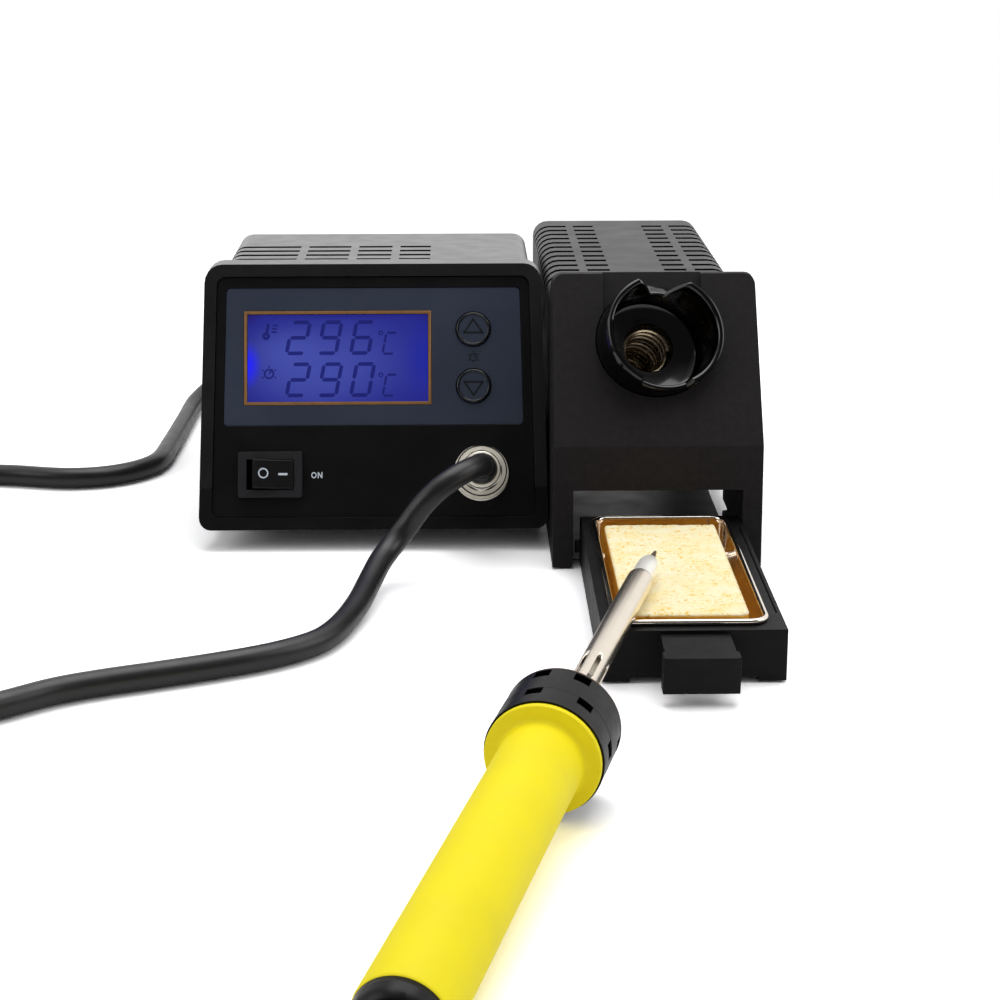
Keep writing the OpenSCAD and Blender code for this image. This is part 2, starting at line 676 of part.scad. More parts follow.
module plug_body() color("#bfc0c2") placed() socket_place() {
  rod(-1.6, 7.2, 5.1);
  rod(7, 7.9, 7);
  rod(7.5, 10, 5.9);
  translate([0, 0, 9.8]) rotate([0, 0, 30]) cylinder(h = 3.6, r = 7.5, $fn = 6);
  rod(13.2, 14.8, 5.5);
  cone(14.6, plug_end, 4.9, 4.2);
}

// ---------- underside and rear ----------
module unit_feet() color("#222222") placed()
  for (x = [-1, 1], y = [foot_front, unit_d - foot_rear]) translate([x*(unit_w/2 - foot_side), y, 0])
    cone(0, feet_h, foot_r - 0.5, foot_r);

module case_screws() color("#8b8d90") placed()
  for (x = [-post_x, post_x], y = [post_front_y, post_rear_y]) translate([x, y, 0]) {
    rod(feet_h + 0.3, feet_h + 2.6, head_r);
    rod(feet_h + 2, feet_h + 2 + post_screw_l, screw_r);
  }

module rear_outline() unit_outline(cover_step + unit_wall - rear_groove + fit_gap,
  floor_z - rear_groove + fit_gap, cover_z - unit_wall + rear_groove - fit_gap, 1, 3);

fuse_x = 20;
fuse_z = 40;
module rear_hole(x, z, r) translate([x, unit_d, z]) rotate([90, 0, 0]) cylinder(h = 10, r = r);
module rear_panel() color("#1b1b1d") placed() difference() {
  along_y(rear_from, rear_from + rear_t) rear_outline();
  rear_hole(gland_x, gland_z, 6.2);
  rear_hole(fuse_x, fuse_z, 6.2);
}

// Local Z points to the rear
module rearward(x, z) translate([x, 0, z]) rotate([-90, 0, 0]) children();
module fuse_holder() color("#202022") placed() rearward(fuse_x, fuse_z) difference() {
  union() {
    rod(rear_from - 24, rear_from + rear_t + 1, 6);
    rod(rear_from + rear_t, rear_from + rear_t + 1.6, 7.6);
    rod(rear_from + rear_t + 1.5, rear_from + rear_t + 5, 5);
    translate([0, 0, rear_from - 3.5]) cylinder(h = 3.5, r = 8.6, $fn = 6);
    slab(0, 0, 5, 0.8, rear_from - 32, rear_from - 24);
  }
  slab(0, 0, 1.2, 12, rear_from + rear_t + 4, rear_from + rear_t + 6);
}

module mains_gland() color("#1a1a1a") placed() rearward(gland_x, gland_z) {
  rod(rear_from - 6, rear_from + rear_t + 1, 6);
  translate([0, 0, rear_from - 4]) cylinder(h = 4, r = 8.6, $fn = 6);
  rod(rear_from + rear_t, rear_from + rear_t + 2, 7.6);
  cone(rear_from + rear_t + 2, unit_d + gland_l - 1, 6.2, lead_r + 0.4);
}

// ---------- leads ----------
module lead(route) sweep(route, lead_r, lead_sides);
// Outer shape of a coil whose turns lie two abreast
module lead_coil(at, mean_r, high) translate([at.x, at.y, slide_gap]) rotate_extrude()
  translate([mean_r - two_turns/2, 0]) square([two_turns, high]);

module mains_cord() color("#202022") placed() lead(mains_route);
module mains_cord_coil() color("#202022") placed() lead_coil(mains_coil_at, mains_coil_r, 22);

// The mains plug lies beside its coil, with its pins to the front
plug_r = 18.5;
plug_l = 74;
module mains_plug_place() translate([mains_coil_at.x - mains_coil_r, mains_coil_at.y - 28, plug_r + 0.1])
  rotate([90, 0, 0]) children();
module mains_plug_body() color("#202022") placed() mains_plug_place() {
  cone(0, 36, lead_r + 0.4, 7);
  cone(35, 46, 11, 16);
  rod(46, plug_l, plug_r);
}
module mains_plug_pins() color("#c9cacc") placed() mains_plug_place()
  for (x = [-9.5, 9.5]) translate([x, 0, 0]) rod(plug_l, plug_l + 19, 2.4);

module iron_cord() color("#1d1d1f") placed() lead(iron_route);
module iron_cord_coil() color("#1d1d1f") placed() lead_coil(iron_coil_at, iron_coil_r, 14.4);
module iron_cord_return() color("#1d1d1f") placed() lead(iron_return_route);

// ---------- holder ----------
function meet(p, u, q, v) = p + u*cross(q - p, v)/cross(u, v);
block_face = [sin(holder_lean), cos(holder_lean)];
block_fold = [-holder_reach, fold_z];
block_crest = block_fold + block_face*(holder_top - fold_z)/cos(holder_lean);
block_land = block_crest + [3, 0];
block_slope = [block_d, shell_top] - block_land;
slope_in = block_wall*[block_slope.y, -block_slope.x]/norm(block_slope);

module block_cavity() let(
    a = [-holder_reach + block_wall, tunnel_h + block_wall],
    face_in = block_fold + block_wall*[cos(holder_lean), -sin(holder_lean)],
    fold_in = meet(a, [0, 1], face_in, block_face),
    peak = meet(face_in, block_face, block_land + slope_in, block_slope),
    back = block_land + slope_in + block_slope*1.2)
  along_x(holder_x - holder_half(holder_top) + block_wall, holder_x + holder_half(holder_top) - block_wall)
  polygon([a, [back.x, a.y], back, peak, fold_in]);

block_screw_x = shell_w/2 - shell_wall - 3.6;
block_screw_z = [38, 68];
block_screw_l = 9;
block_boss_l = 12;

module holder_front() color("#1e1e20") placed() difference() {
  union() {
    difference() {
      intersection() {
        along_y(-holder_reach, block_d) translate([holder_x, 0])
          polygon(rounded([[-holder_half(0), holder_foot], [holder_half(0), holder_foot],
            [holder_half(holder_top), holder_top], [-holder_half(holder_top), holder_top]], [0, 0, 3.5, 3.5]));
        along_x(holder_x - holder_w, holder_x + holder_w)
          polygon([[-holder_reach, 0], [block_d, 0], [block_d, shell_top], block_land, block_crest, block_fold]);
      }
      block_cavity();
      block([holder_x - tunnel_w/2, -holder_reach - 1, -1], [holder_x + tunnel_w/2, block_d + 1, tunnel_h]);
    }
    for (x = [-1, 1], z = block_screw_z) translate([holder_x + x*block_screw_x, 0, z])
      rotate([-90, 0, 0]) rod(block_d - block_boss_l, block_d, 4.6);
    for (x = [-1, 1], z = block_screw_z) translate([holder_x, 0, 0]) scale_side(x)
      block([block_screw_x, block_d - block_boss_l, z - 3], [holder_half(z) - block_wall/2, block_d, z + 3]);
    // two pads behind the face carry the funnel's screws
    mouth() for (x = [-1, 1]) translate([x*ear_x, 0, 0])
      rod(ear_back + ear_t, (x*ear_x*sin(mouth_yaw) - 0.6*block_wall)/cos(mouth_yaw), ear_r);
  }
  mouth() rod(-funnel_in - 5, 20, funnel_r + fit_gap);
  mouth() for (x = [-1, 1]) translate([x*ear_x, 0, 0]) rod(ear_back, ear_back + 8.6, 1.2 + screw_gap);
  holder_face() block([-17, mouth_s - 9.5, -2.2], [15.5, 80, 10]);
  for (x = [-1, 1], z = block_screw_z) translate([holder_x + x*block_screw_x, 0, z])
    rotate([-90, 0, 0]) rod(block_d - block_screw_l - 1, block_d + 1, screw_r + screw_gap);
  drawer_grooves();
  for (x = [-1, 1]) slab(holder_x + x*leg_x, 4, leg_pad_w, 36, 0, leg_pad + holder_foot);
}
leg_x = (holder_w + tunnel_w)/4;
leg_pad_w = 4.4;

module drawer_grooves() {
  groove_from = drawer_rear - lug_l - slide_gap;
  for (x = [-1, 1])
    block([drawer_x + x*(drawer_w/2 + lug_out/2) - lug_out/2 - slide_gap, groove_from, lug_z - slide_gap],
      [drawer_x + x*(drawer_w/2 + lug_out/2) + lug_out/2 + slide_gap, block_d + 1, lug_z + lug_h + slide_gap]);
}

module shell_outline(inset, z0) translate([holder_x, 0])
  polygon(rounded([[-shell_w/2 + inset, z0], [shell_w/2 - inset, z0], [shell_w/2 - inset, shell_top - inset],
    [-shell_w/2 + inset, shell_top - inset]], [0, 0, shell_edge - inset, shell_edge - inset]));

module shell_slots(y) {
  rib_x = 19.5;
  rib = 1.5;
  for (side = [-1, 1]) translate([holder_x, 0, 0]) scale_side(side) {
    block([spine_w/2, y - shell_slot/2, 60], [rib_x - rib, y + shell_slot/2, shell_top + 1]);
    block([rib_x + rib, y - shell_slot/2, 60], [shell_w, y + shell_slot/2, shell_top + 1]);
  }
}
module scale_side(side) if (side > 0) children(); else mirror([1, 0, 0]) children();

tab_x = shell_w/2 - shell_wall + 1;
module holder_rear() color("#232325") placed() difference() {
  union() {
    difference() {
      along_y(shell_from, shell_d) shell_outline(0, feet_h);
      along_y(shell_from - 1, shell_d - shell_wall) shell_outline(shell_wall, 0);
      for (i = [0:shell_rows - 1]) shell_slots(shell_first + i*shell_pitch);
      along_y(shell_d - 5, shell_d + 1) translate([holder_x, 0])
        polygon(rounded([[-22, 0], [22, 0], [22, 42], [-22, 42]], [0, 0, 16, 16]));
    }
    // tabs that the block is screwed to, corner plates over the rear feet, heat shelf
    for (x = [-1, 1], z = block_screw_z)
      translate([holder_x, 0, 0]) scale_side(x) block([tab_x - 9, shell_from, z - 5], [tab_x, shell_from + 3, z + 5]);
    for (x = [-1, 1]) translate([holder_x, 0, 0]) scale_side(x)
      block([tab_x - 14, shell_d - shell_wall - 14, feet_h], [tab_x, shell_d - shell_wall + embed, feet_h + 2.4]);
    block([holder_x - tab_x, shell_from, tunnel_h], [holder_x + tab_x, shell_from + 26, tunnel_h + 2.4]);
  }
  for (x = [-1, 1], z = block_screw_z) translate([holder_x + x*block_screw_x, 0, z])
    rotate([-90, 0, 0]) rod(shell_from - 1, shell_from + 4, screw_r + 0.2);
  for (y = link_ys)
    block([holder_x - shell_w/2 - 1, y - link_w/2 - fit_gap, 0], [holder_x - tab_x + 2, y + link_w/2 + fit_gap, link_z1 + fit_gap]);
}

module holder_screws() color("#8b8d90") placed()
  for (x = [-1, 1], z = block_screw_z) translate([holder_x + x*block_screw_x, 0, z]) rotate([-90, 0, 0]) {
    rod(block_d - block_screw_l, shell_from + 3.5, screw_r);
    rod(shell_from + 3, shell_from + 5, 2.8);
  }

module link_slot(y)
  block([unit_w/2 - 12, y - link_w/2 - fit_gap, link_z0 - fit_gap], [unit_w/2 + 5, y + link_w/2 + fit_gap, link_z1 + fit_gap]);

module holder_link() color("#1b1b1d") placed() for (y = link_ys) {
  inner = half(link_z1) - cover_step - unit_wall - fit_gap;
  outer = holder_x - shell_w/2 + shell_wall + fit_gap;
  block([inner - 2, y - link_w/2, link_z0], [outer + 2, y + link_w/2, link_z1]);
  block([inner - 2, y - link_w/2, link_z0], [inner, y + link_w/2, link_z1 + 4]);
  block([outer, y - link_w/2, link_z0], [outer + 2, y + link_w/2, link_z1 + 2.5]);
}

module holder_feet() color("#222222") placed() {
  for (x = [-1, 1]) translate([holder_x, 0, 0]) {
    slab(x*leg_x, 4, leg_pad_w - 0.2, 35.8, 0, leg_pad + holder_foot);
    translate([x*(shell_w/2 - shell_wall - 7), shell_d - shell_wall - 7, 0]) cone(0, feet_h, foot_r - 0.5, foot_r);
  }
}

module iron_funnel() color("#0c0c0d") placed() mouth() difference() {
  union() {
    rod(-funnel_in, funnel_out, funnel_r);
    for (x = [-1, 1]) translate([x*ear_x, 0, 0]) rod(ear_back, ear_back + ear_t, ear_r);
    slab(0, 0, 2*ear_x, 5, ear_back, ear_back + ear_t);
  }
  rod(-funnel_in + funnel_floor, funnel_out + 1, funnel_r - funnel_wall);
  translate([coil_off, 0, 0]) rod(-funnel_in - 1, 0, coil_r);
  for (x = [-1, 1]) translate([x*ear_x, 0, 0]) rod(ear_back - 1, ear_back + ear_t + 1, 1.5);
  // the rim opens upward in a V and has a step at the bottom
  translate([0, funnel_r + 5, 0]) rotate([90, 0, 0]) linear_extrude(16)
    polygon([[-4, 1.5], [4, 1.5], [9.5, funnel_out + 1], [-9.5, funnel_out + 1]]);
  translate([0, -funnel_r + 8, 0]) rotate([90, 0, 0]) linear_extrude(16)
    polygon([[-8, 3.5], [8, 3.5], [8, funnel_out + 1], [-8, funnel_out + 1]]);
}

module funnel_screws() color("#8b8d90") placed() mouth()
  for (x = [-1, 1]) translate([x*ear_x, 0, 0]) {
    rod(ear_back, ear_back + 8, 1.2);
    rod(ear_back - 1.8, ear_back, 2.4);
  }

module holder_coil() color("#a8a49a") placed() mouth() translate([coil_off, 0, -funnel_in - coil_wire/2 - seam_gap])
  mirror([0, 0, 1]) sweep(helix(coil_mean, coil_pitch, coil_turns, 14), coil_wire/2, 6);

// ---------- drawer ----------
module drawer() color("#1c1c1e") placed() difference() {
  union() {
    block([drawer_x - drawer_w/2, drawer_front, drawer_lift], [drawer_x + drawer_w/2, drawer_rear, drawer_top]);
    for (x = [-1, 1])
      block([drawer_x + x*drawer_w/2 + (x < 0 ? -lug_out : -embed), drawer_rear - lug_l, lug_z],
        [drawer_x + x*drawer_w/2 + (x < 0 ? embed : lug_out), drawer_rear, lug_z + lug_h]);
    slab(drawer_x, drawer_front - tab_out/2, tab_w - 1.5, tab_out + 1, drawer_top - 4.3, drawer_top - 1.25);
    slab(drawer_x, drawer_front - tab_out + 2.5, tab_w, 5, 3.9, drawer_top - 1.25);
  }
  dish_place() rounded_slab(dish_w - 2*rim_r + 2*fit_gap, dish_l - 2*rim_r + 2*fit_gap, dish_corner - rim_r + fit_gap,
    dish_floor - fit_gap, drawer_top + 1);
  block([drawer_x - drawer_w/2 + 8, drawer_front - 1, 0], [drawer_x + drawer_w/2 - 8, drawer_rear + 1, drawer_lift + 1.3]);
  block([drawer_x + drawer_w/2 - 1.7, drawer_front + 14, drawer_top - 0.6],
    [drawer_x + drawer_w/2 - 1.2, drawer_rear - 12, drawer_top + 1]);
}

module dish_place() translate([dish_x, dish_front + dish_l/2, 0]) children();
module sponge_dish() color("#c6c2b8") placed() dish_place() {
  difference() {
    rounded_slab(dish_w - 2*rim_r, dish_l - 2*rim_r, dish_corner - rim_r, dish_floor, rim_top - rim_r);
    rounded_slab(dish_w - 2*rim_r - 2*dish_wall, dish_l - 2*rim_r - 2*dish_wall, dish_corner - rim_r - dish_wall,
      dish_floor + dish_wall, rim_top);
  }
  translate([0, 0, drawer_top + rim_r]) for (x = [-1, 1], y = [-1, 1]) scale_side(x) scale_front(y) {
    w = dish_w/2 - rim_r;
    l = dish_l/2 - rim_r;
    r = dish_corner - rim_r;
    translate([w, 0, 0]) rotate([-90, 0, 0]) rod(0, l - r, rim_r);
    translate([0, l, 0]) rotate([0, 90, 0]) rod(0, w - r, rim_r);
    translate([w - r, l - r, 0]) rotate_extrude(angle = 90) translate([r, 0]) circle(rim_r, $fn = 24);
  }
}
module scale_front(side) if (side > 0) children(); else mirror([0, 1, 0]) children();

sponge_from = dish_front + rim_r + dish_wall + 2.8;
module sponge() color("#e8b93a") placed() translate([dish_x - 0.8, sponge_from + sponge_l/2, 0])
  rounded_slab(sponge_w, sponge_l, 3.5, dish_floor + dish_wall, drawer_top + sponge_proud);

// ---------- iron ----------
module tip() color("#6d675f") placed() iron() {
  translate([0, 0, 0.6]) sphere(0.6);
  cone(0.6, tip_l, 0.6, 1.9);
  rod(tip_l, 40, 1.9);
}

module tip_sleeve() color("#dcd9d2") placed() iron() difference() {
  union() {
    cone(tip_l, tip_l + 3, 2.1, barrel_r - barrel_wall - 0.45);
    rod(tip_l + 3, barrel_from + 4, barrel_r - barrel_wall - 0.45);
  }
  rod(tip_l - 1, barrel_from + 5, 1.95);
}

module heater() color("#ded8cc") placed() iron() rod(40, collar_from + 2, 1.9);

module barrel() color("#b9b5ac") placed() iron() difference() {
  union() {
    rod(barrel_from, collar_from + 3, barrel_r);
    rod(collar_from + 1, collar_from + 3, barrel_r + 2);
  }
  rod(barrel_from + 0.8, collar_from + 4, barrel_r - barrel_wall);
  rod(barrel_from - 1, barrel_from + 1, barrel_r - barrel_wall - 0.35);
  for (a = [30:60:150]) rotate([0, 0, a]) slab(0, 0, 20, 1.4, collar_from - 35, collar_from - 23);
}

module barrel_washer() color("#8e8a80") placed() iron() pipe(collar_from - 1.2, collar_from, 7, barrel_r + screw_gap);

collar_split = 11.3;
notch_w = 4.3;
notch_l = 3.6;
notches = 7;
module collar_front() color("#161616") placed() iron() difference() {
  union() {
    pipe(collar_from, collar_from + 3, collar_r, barrel_r + 2.1);
    pipe(collar_from + 2, collar_from + collar_split, collar_r, 8.8);
  }
  rod(collar_from - 1, collar_from + 1, barrel_r + 0.1);
  for (a = [37:120:277], pair = [0, 40]) rotate([0, 0, a + pair])
    slab(collar_r, 0, 4, notch_w, collar_from + 0.9, collar_from + 0.9 + notch_l);
  for (a = [90, 210, 330]) rotate([0, 0, a]) translate([9.6, 0, 0]) rod(collar_from - 1, collar_from + 12, 1.1);
}

module collar_rear() color("#161616") placed() iron() difference() {
  pipe(collar_from + collar_split, collar_from + collar_l, collar_r, 8.8);
  for (i = [0:notches - 1]) rotate([0, 0, 41 + i*360/notches])
    slab(collar_r, 0, 3.4, notch_w, collar_from + collar_split - 1, collar_from + collar_split + notch_l);
  for (a = [90, 210, 330]) rotate([0, 0, a]) translate([9.6, 0, 0]) rod(collar_from + 8, collar_from + 18, 1.1);
}

module handle_core() color("#2c2c2e") placed() iron() difference() {
  union() {
    rod(collar_from + 3, grip_end, grip_r - grip_wall - 0.05);
    cone(grip_end + 0.05, grip_end + 4, grip_r - 0.3, grip_r - 1);
    cone(grip_end + 4, grip_end + 6, grip_r - 1, 7.6);
    rod(grip_end - 1, grip_end + 1, grip_r - grip_wall - 0.05);
  }
  rod(collar_from + 2, grip_end - 2, grip_r - grip_wall - 1.9);
}

module grip() color("#e3e016") placed() iron() difference() {
  union() {
    rod(collar_from + collar_l, collar_from + collar_l + 1.9, collar_r - 0.45);
    rod(collar_from + collar_l, grip_end, grip_r);
  }
  rod(collar_from, grip_end + 1, grip_r - grip_wall);
}

module handle_screws() color("#8b8d90") placed() iron()
  for (a = [90, 210, 330]) rotate([0, 0, a]) translate([9.6, 0, 0]) {
    rod(collar_from + 0.2, collar_from + 16, 1.05);
    rod(collar_from - 0.8, collar_from, 1.9);
    rod(collar_from - 0.2, collar_from + 0.3, 1.05);
  }

module iron_strain_relief() color("#1a1a1a") placed() iron()
  cone(grip_end + 6, iron_end, 6.2, lead_r + 0.4);

// ---------- drawing ----------
base_tray();
top_cover();
front_panel();
rear_panel();
display_overlay();
display_bezel();
lcd_module();
control_board();
board_screws();
transformer_core();
transformer_coil();
transformer_screws();
button_up();
button_down();
tact_switches();
switch_frame();
rocker();
switch_terminals();
socket_body();
socket_nut();
plug_ring();
plug_body();
unit_feet();
case_screws();
fuse_holder();
mains_gland();
mains_cord();
mains_cord_coil();
mains_plug_body();
mains_plug_pins();
iron_cord();
iron_cord_coil();
iron_cord_return();
holder_front();
holder_rear();
iron_funnel();
funnel_screws();
holder_coil();
holder_screws();
holder_link();
holder_feet();
drawer();
sponge_dish();
sponge();
tip();
tip_sleeve();
heater();
barrel();
barrel_washer();
collar_front();
collar_rear();
handle_core();
grip();
handle_screws();
iron_strain_relief();
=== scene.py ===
"""Looks of a soldering station: camera, finishes, leads, pieces and lights, in the shared frame, in metres."""
import math

import bmesh
import bpy
import numpy as np
from mathutils import Matrix, Vector, noise


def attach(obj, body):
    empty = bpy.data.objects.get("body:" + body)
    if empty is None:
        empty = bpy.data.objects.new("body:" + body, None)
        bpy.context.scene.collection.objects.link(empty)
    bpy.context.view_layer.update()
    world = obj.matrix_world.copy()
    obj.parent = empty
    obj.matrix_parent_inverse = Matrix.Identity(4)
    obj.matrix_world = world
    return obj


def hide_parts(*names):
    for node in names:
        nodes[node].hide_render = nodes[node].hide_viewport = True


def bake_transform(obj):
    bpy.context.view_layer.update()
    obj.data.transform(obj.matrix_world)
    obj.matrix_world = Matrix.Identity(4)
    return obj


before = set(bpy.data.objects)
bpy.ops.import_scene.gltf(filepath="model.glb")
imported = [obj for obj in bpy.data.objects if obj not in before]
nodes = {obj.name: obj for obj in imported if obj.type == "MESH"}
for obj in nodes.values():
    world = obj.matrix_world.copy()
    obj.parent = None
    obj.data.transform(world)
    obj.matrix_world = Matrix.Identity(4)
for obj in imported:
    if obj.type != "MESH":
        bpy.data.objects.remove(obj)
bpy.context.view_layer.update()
for name in ("Cube", "Light", "Camera"):
    if name in bpy.data.objects and name not in nodes:
        bpy.data.objects.remove(bpy.data.objects[name])
scene = bpy.context.scene
scene.view_settings.view_transform = "Standard"

# ---------------------------------------------------------------- places
# The working frame is in mm from the middle of the unit's front edge.
# OX and OY are the shared frame's origin in it, in metres.
MM = 0.001
OX, OY = 0.034675, -0.087281906


def S(x, y, z=0.0):
    """A point in the working frame as a point in the shared frame."""
    return Vector((x * MM - OX, y * MM - OY, z * MM))


def frame_at(origin, rotation):
    """Matrix from local millimetres to the shared frame."""
    return Matrix.Translation(origin) @ rotation.to_4x4() @ Matrix.Scale(MM, 4)


def rot(deg, axis):
    return Matrix.Rotation(math.radians(deg), 3, axis)


def polar(radius, a, centre=(0, 0)):
    """The point at this radius and angle (in radians) round a centre."""
    return (centre[0] + radius * math.cos(a), centre[1] + radius * math.sin(a))


# The unit's leaning face, the holder's, and the funnel's mouth in it: X to the right, Y up the face, Z out of it.
LEAN, HOLDER_LEAN = 22.0, 31.65
FACE = frame_at(S(0, 0, 7.35), rot(90 - LEAN, "X"))
HFACE = frame_at(S(94.0, -21.1, 41.5), rot(90 - HOLDER_LEAN, "X"))
MOUTH_UP, MOUTH_TURN = 36.5, 10
MOUTH = HFACE @ Matrix.Translation((0, MOUTH_UP, 0)) @ rot(MOUTH_TURN, "Y").to_4x4()
# The iron: local Z runs from its tip to its lead.
TIP = (87.84663, -77.56346, 24.19285)
DIP, TURN = 3.002044, 16.1
IRON = frame_at(S(*TIP), rot(-90 - TURN, "Z") @ rot(90 + DIP, "Y"))
STATION = frame_at(S(0, 0, 0), Matrix.Identity(3))

# ---------------------------------------------------------------- camera
cam_data = bpy.data.cameras.new("view")
cam = bpy.data.objects.new("view", cam_data)
scene.collection.objects.link(cam)
CAMERA_AT = (28.54, -677.31, 220.30)
CAMERA_DOWN, CAMERA_ROLL, CAMERA_TURN = 16.664, 0.037, -1.206
cam_data.sensor_width = 36.0
cam_data.lens = 75.52944
cam_data.clip_start = 0.02
cam_data.clip_end = 20.0
cam.location = S(*CAMERA_AT)
cam.rotation_euler = [math.radians(v) for v in (90 - CAMERA_DOWN, CAMERA_ROLL, CAMERA_TURN)]
scene.camera = cam


# ---------------------------------------------------------------- finishes
def lin(c):
    """sRGB 0-255 to linear."""
    share = [v / 255 for v in c]
    return tuple(v / 12.92 if v <= 0.04045 else ((v + 0.055) / 1.055) ** 2.4 for v in share) + (1.0,)


class Finish:
    """A node material built in steps."""

    def __init__(self, name, color, rough=0.5, metal=0.0, spec=0.5, coat=0.0, coat_rough=0.1):
        self.m = bpy.data.materials.new(name)
        self.m.use_nodes = True
        self.t = self.m.node_tree
        self.b = self.t.nodes["Principled BSDF"]
        self.c = lin(color)
        self.rough = rough
        self.b.inputs["Base Color"].default_value = self.c
        self.b.inputs["Roughness"].default_value = rough
        self.b.inputs["Metallic"].default_value = metal
        self.b.inputs["Specular IOR Level"].default_value = spec
        self.b.inputs["Coat Weight"].default_value = coat
        self.b.inputs["Coat Roughness"].default_value = coat_rough
        self.normal = None
        self.at = self.t.nodes.new("ShaderNodeTexCoord").outputs["Object"]

    def node(self, kind, **values):
        n = self.t.nodes.new(kind)
        for k, v in values.items():
            if k in n.inputs:
                n.inputs[k].default_value = v
            else:
                setattr(n, k, v)
        return n

    def link(self, a, b):
        self.t.links.new(a, b)

    def stretched(self, scale, rotation=(0, 0, 0)):
        n = self.node("ShaderNodeMapping")
        n.inputs["Scale"].default_value = scale
        n.inputs["Rotation"].default_value = rotation
        self.link(self.at, n.inputs["Vector"])
        return n.outputs[0]

    def noise(self, scale, detail=3.0, rough=0.5, at=None):
        n = self.node("ShaderNodeTexNoise", Scale=scale, Detail=detail, Roughness=rough)
        self.link(at or self.at, n.inputs["Vector"])
        return n.outputs["Fac"]

    def span(self, fac, a, b, lo=0.0, hi=1.0):
        n = self.node("ShaderNodeMapRange")
        n.inputs[1].default_value, n.inputs[2].default_value = lo, hi
        n.inputs[3].default_value, n.inputs[4].default_value = a, b
        self.link(fac, n.inputs[0])
        return n.outputs[0]

    def mix(self, fac, a, b):
        n = self.node("ShaderNodeMix", data_type="RGBA")
        self.link(fac, n.inputs[0])
        for value, socket in ((a, n.inputs[6]), (b, n.inputs[7])):
            if isinstance(value, tuple):
                socket.default_value = value
            else:
                self.link(value, socket)
        return n.outputs[2]

    def mottle(self, scale, amount, detail=4.0, at=None, tint=None):
        f = self.span(self.noise(scale, detail, at=at), 0, 1, 0.3, 0.7)
        a = tuple(max(0, v * (1 - amount)) for v in self.c[:3]) + (1,)
        b = tint or tuple(min(1, v * (1 + amount)) for v in self.c[:3]) + (1,)
        self.color = self.mix(f, a, b)
        self.link(self.color, self.b.inputs["Base Color"])
        return self

    def vary(self, scale, amount, at=None):
        low, high = max(0.02, self.rough - amount), min(1, self.rough + amount)
        r = self.span(self.noise(scale, 3, at=at), low, high, 0.3, 0.7)
        self.link(r, self.b.inputs["Roughness"])
        return self

    def bump(self, fac, depth, strength=1.0):
        n = self.node("ShaderNodeBump", Strength=strength, Distance=depth)
        self.link(fac, n.inputs["Height"])
        if self.normal:
            self.link(self.normal, n.inputs["Normal"])
        self.normal = n.outputs[0]
        self.link(self.normal, self.b.inputs["Normal"])
        return self

    def grain(self, scale, depth, detail=2.0, at=None):
        return self.bump(self.noise(scale, detail, at=at), depth)

    def within(self, value, low, high):
        """1 where the value lies between low and high, else 0."""
        n = self.node("ShaderNodeMath", operation="COMPARE")
        n.inputs[1].default_value, n.inputs[2].default_value = (low + high) / 2, (high - low) / 2
        self.link(value, n.inputs[0])
        return n.outputs[0]

    def times(self, a, b):
        n = self.node("ShaderNodeMath", operation="MULTIPLY")
        self.link(a, n.inputs[0])
        self.link(b, n.inputs[1])
        return n.outputs[0]

    def parts(self, vector):
        """The X, Y and Z of a vector."""
        n = self.node("ShaderNodeSeparateXYZ")
        self.link(vector, n.inputs[0])
        return n.outputs

    def painted_shade_walls(self, from_y, to_y, color=(3, 3, 3)):
        """Walls that face front or back between from_y and to_y, the sides of the slots, get painted shade: a
        near-black colour, and their specular and coat drop to nothing.
        """
        facing = self.node("ShaderNodeNewGeometry").outputs["True Normal"]
        size = self.node("ShaderNodeMath", operation="ABSOLUTE")
        self.link(self.parts(facing)["Y"], size.inputs[0])
        wall = self.span(size.outputs[0], 0, 1, 0.8, 0.95)
        wall = self.times(wall, self.within(self.parts(self.at)["Y"], from_y, to_y))
        self.link(self.mix(wall, self.color, lin(color)), self.b.inputs["Base Color"])
        for name in ("Specular IOR Level", "Coat Weight"):
            self.link(self.span(wall, self.b.inputs[name].default_value, 0.0), self.b.inputs[name])
        return self


def put(obj, finish):
    obj.data.materials.clear()
    obj.data.materials.append(finish.m if isinstance(finish, Finish) else finish)


def soften(obj, width):
    """Rounds the sharp edges of a carried-over solid, for the thin highlights that moulded edges show."""
    m = obj.modifiers.new("weld", "WELD")
    m.merge_threshold = 1e-6
    m = obj.modifiers.new("plane", "DECIMATE")
    m.decimate_type = "DISSOLVE"
    m.angle_limit = math.radians(0.4)
    if width:
        m = obj.modifiers.new("edge", "BEVEL")
        m.width = width
        m.segments = 2
        m.limit_method = "ANGLE"
        m.angle_limit = math.radians(30)
        m.miter_outer = "MITER_ARC"
        m.use_clamp_overlap = True
        m.harden_normals = False
    for p in obj.data.polygons:
        p.use_smooth = True
    m = obj.modifiers.new("shade", "WEIGHTED_NORMAL")
    m.keep_sharp = True
    m.weight = 80


# Where the two covers have their slots, along Y in metres; the slot walls there get painted shade
COVER_SLOTS = (0.132, 0.205)
SHELL_SLOTS = (0.06, 0.262)
F = {}
F["case"] = Finish("case_black", (11, 10, 12), 0.4, spec=0.25).mottle(60, 0.12).vary(90, 0.05).grain(2600, 0.00002)
F["cover"] = Finish("cover_black", (17, 16, 18), 0.32, spec=0.5, coat=0.5, coat_rough=0.24).mottle(45, 0.14)
# painted shade on the walls of the cover's slots
F["cover"].vary(120, 0.05).grain(2200, 0.000012).painted_shade_walls(*COVER_SLOTS)
F["panel"] = Finish("panel_black", (10, 9, 11), 0.42, spec=0.22).mottle(50, 0.1).vary(70, 0.05)
F["panel"].grain(3000, 0.000012)
F["film"] = Finish("film_grey", (46, 54, 70), 0.35, spec=0.4).mottle(35, 0.05).vary(60, 0.05).grain(4000, 0.000004)
# dark print, also used for painted shade in grooves
F["ink"] = Finish("print_and_groove_shade_dark", (14, 16, 21), 0.5, spec=0.3).mottle(400, 0.1)
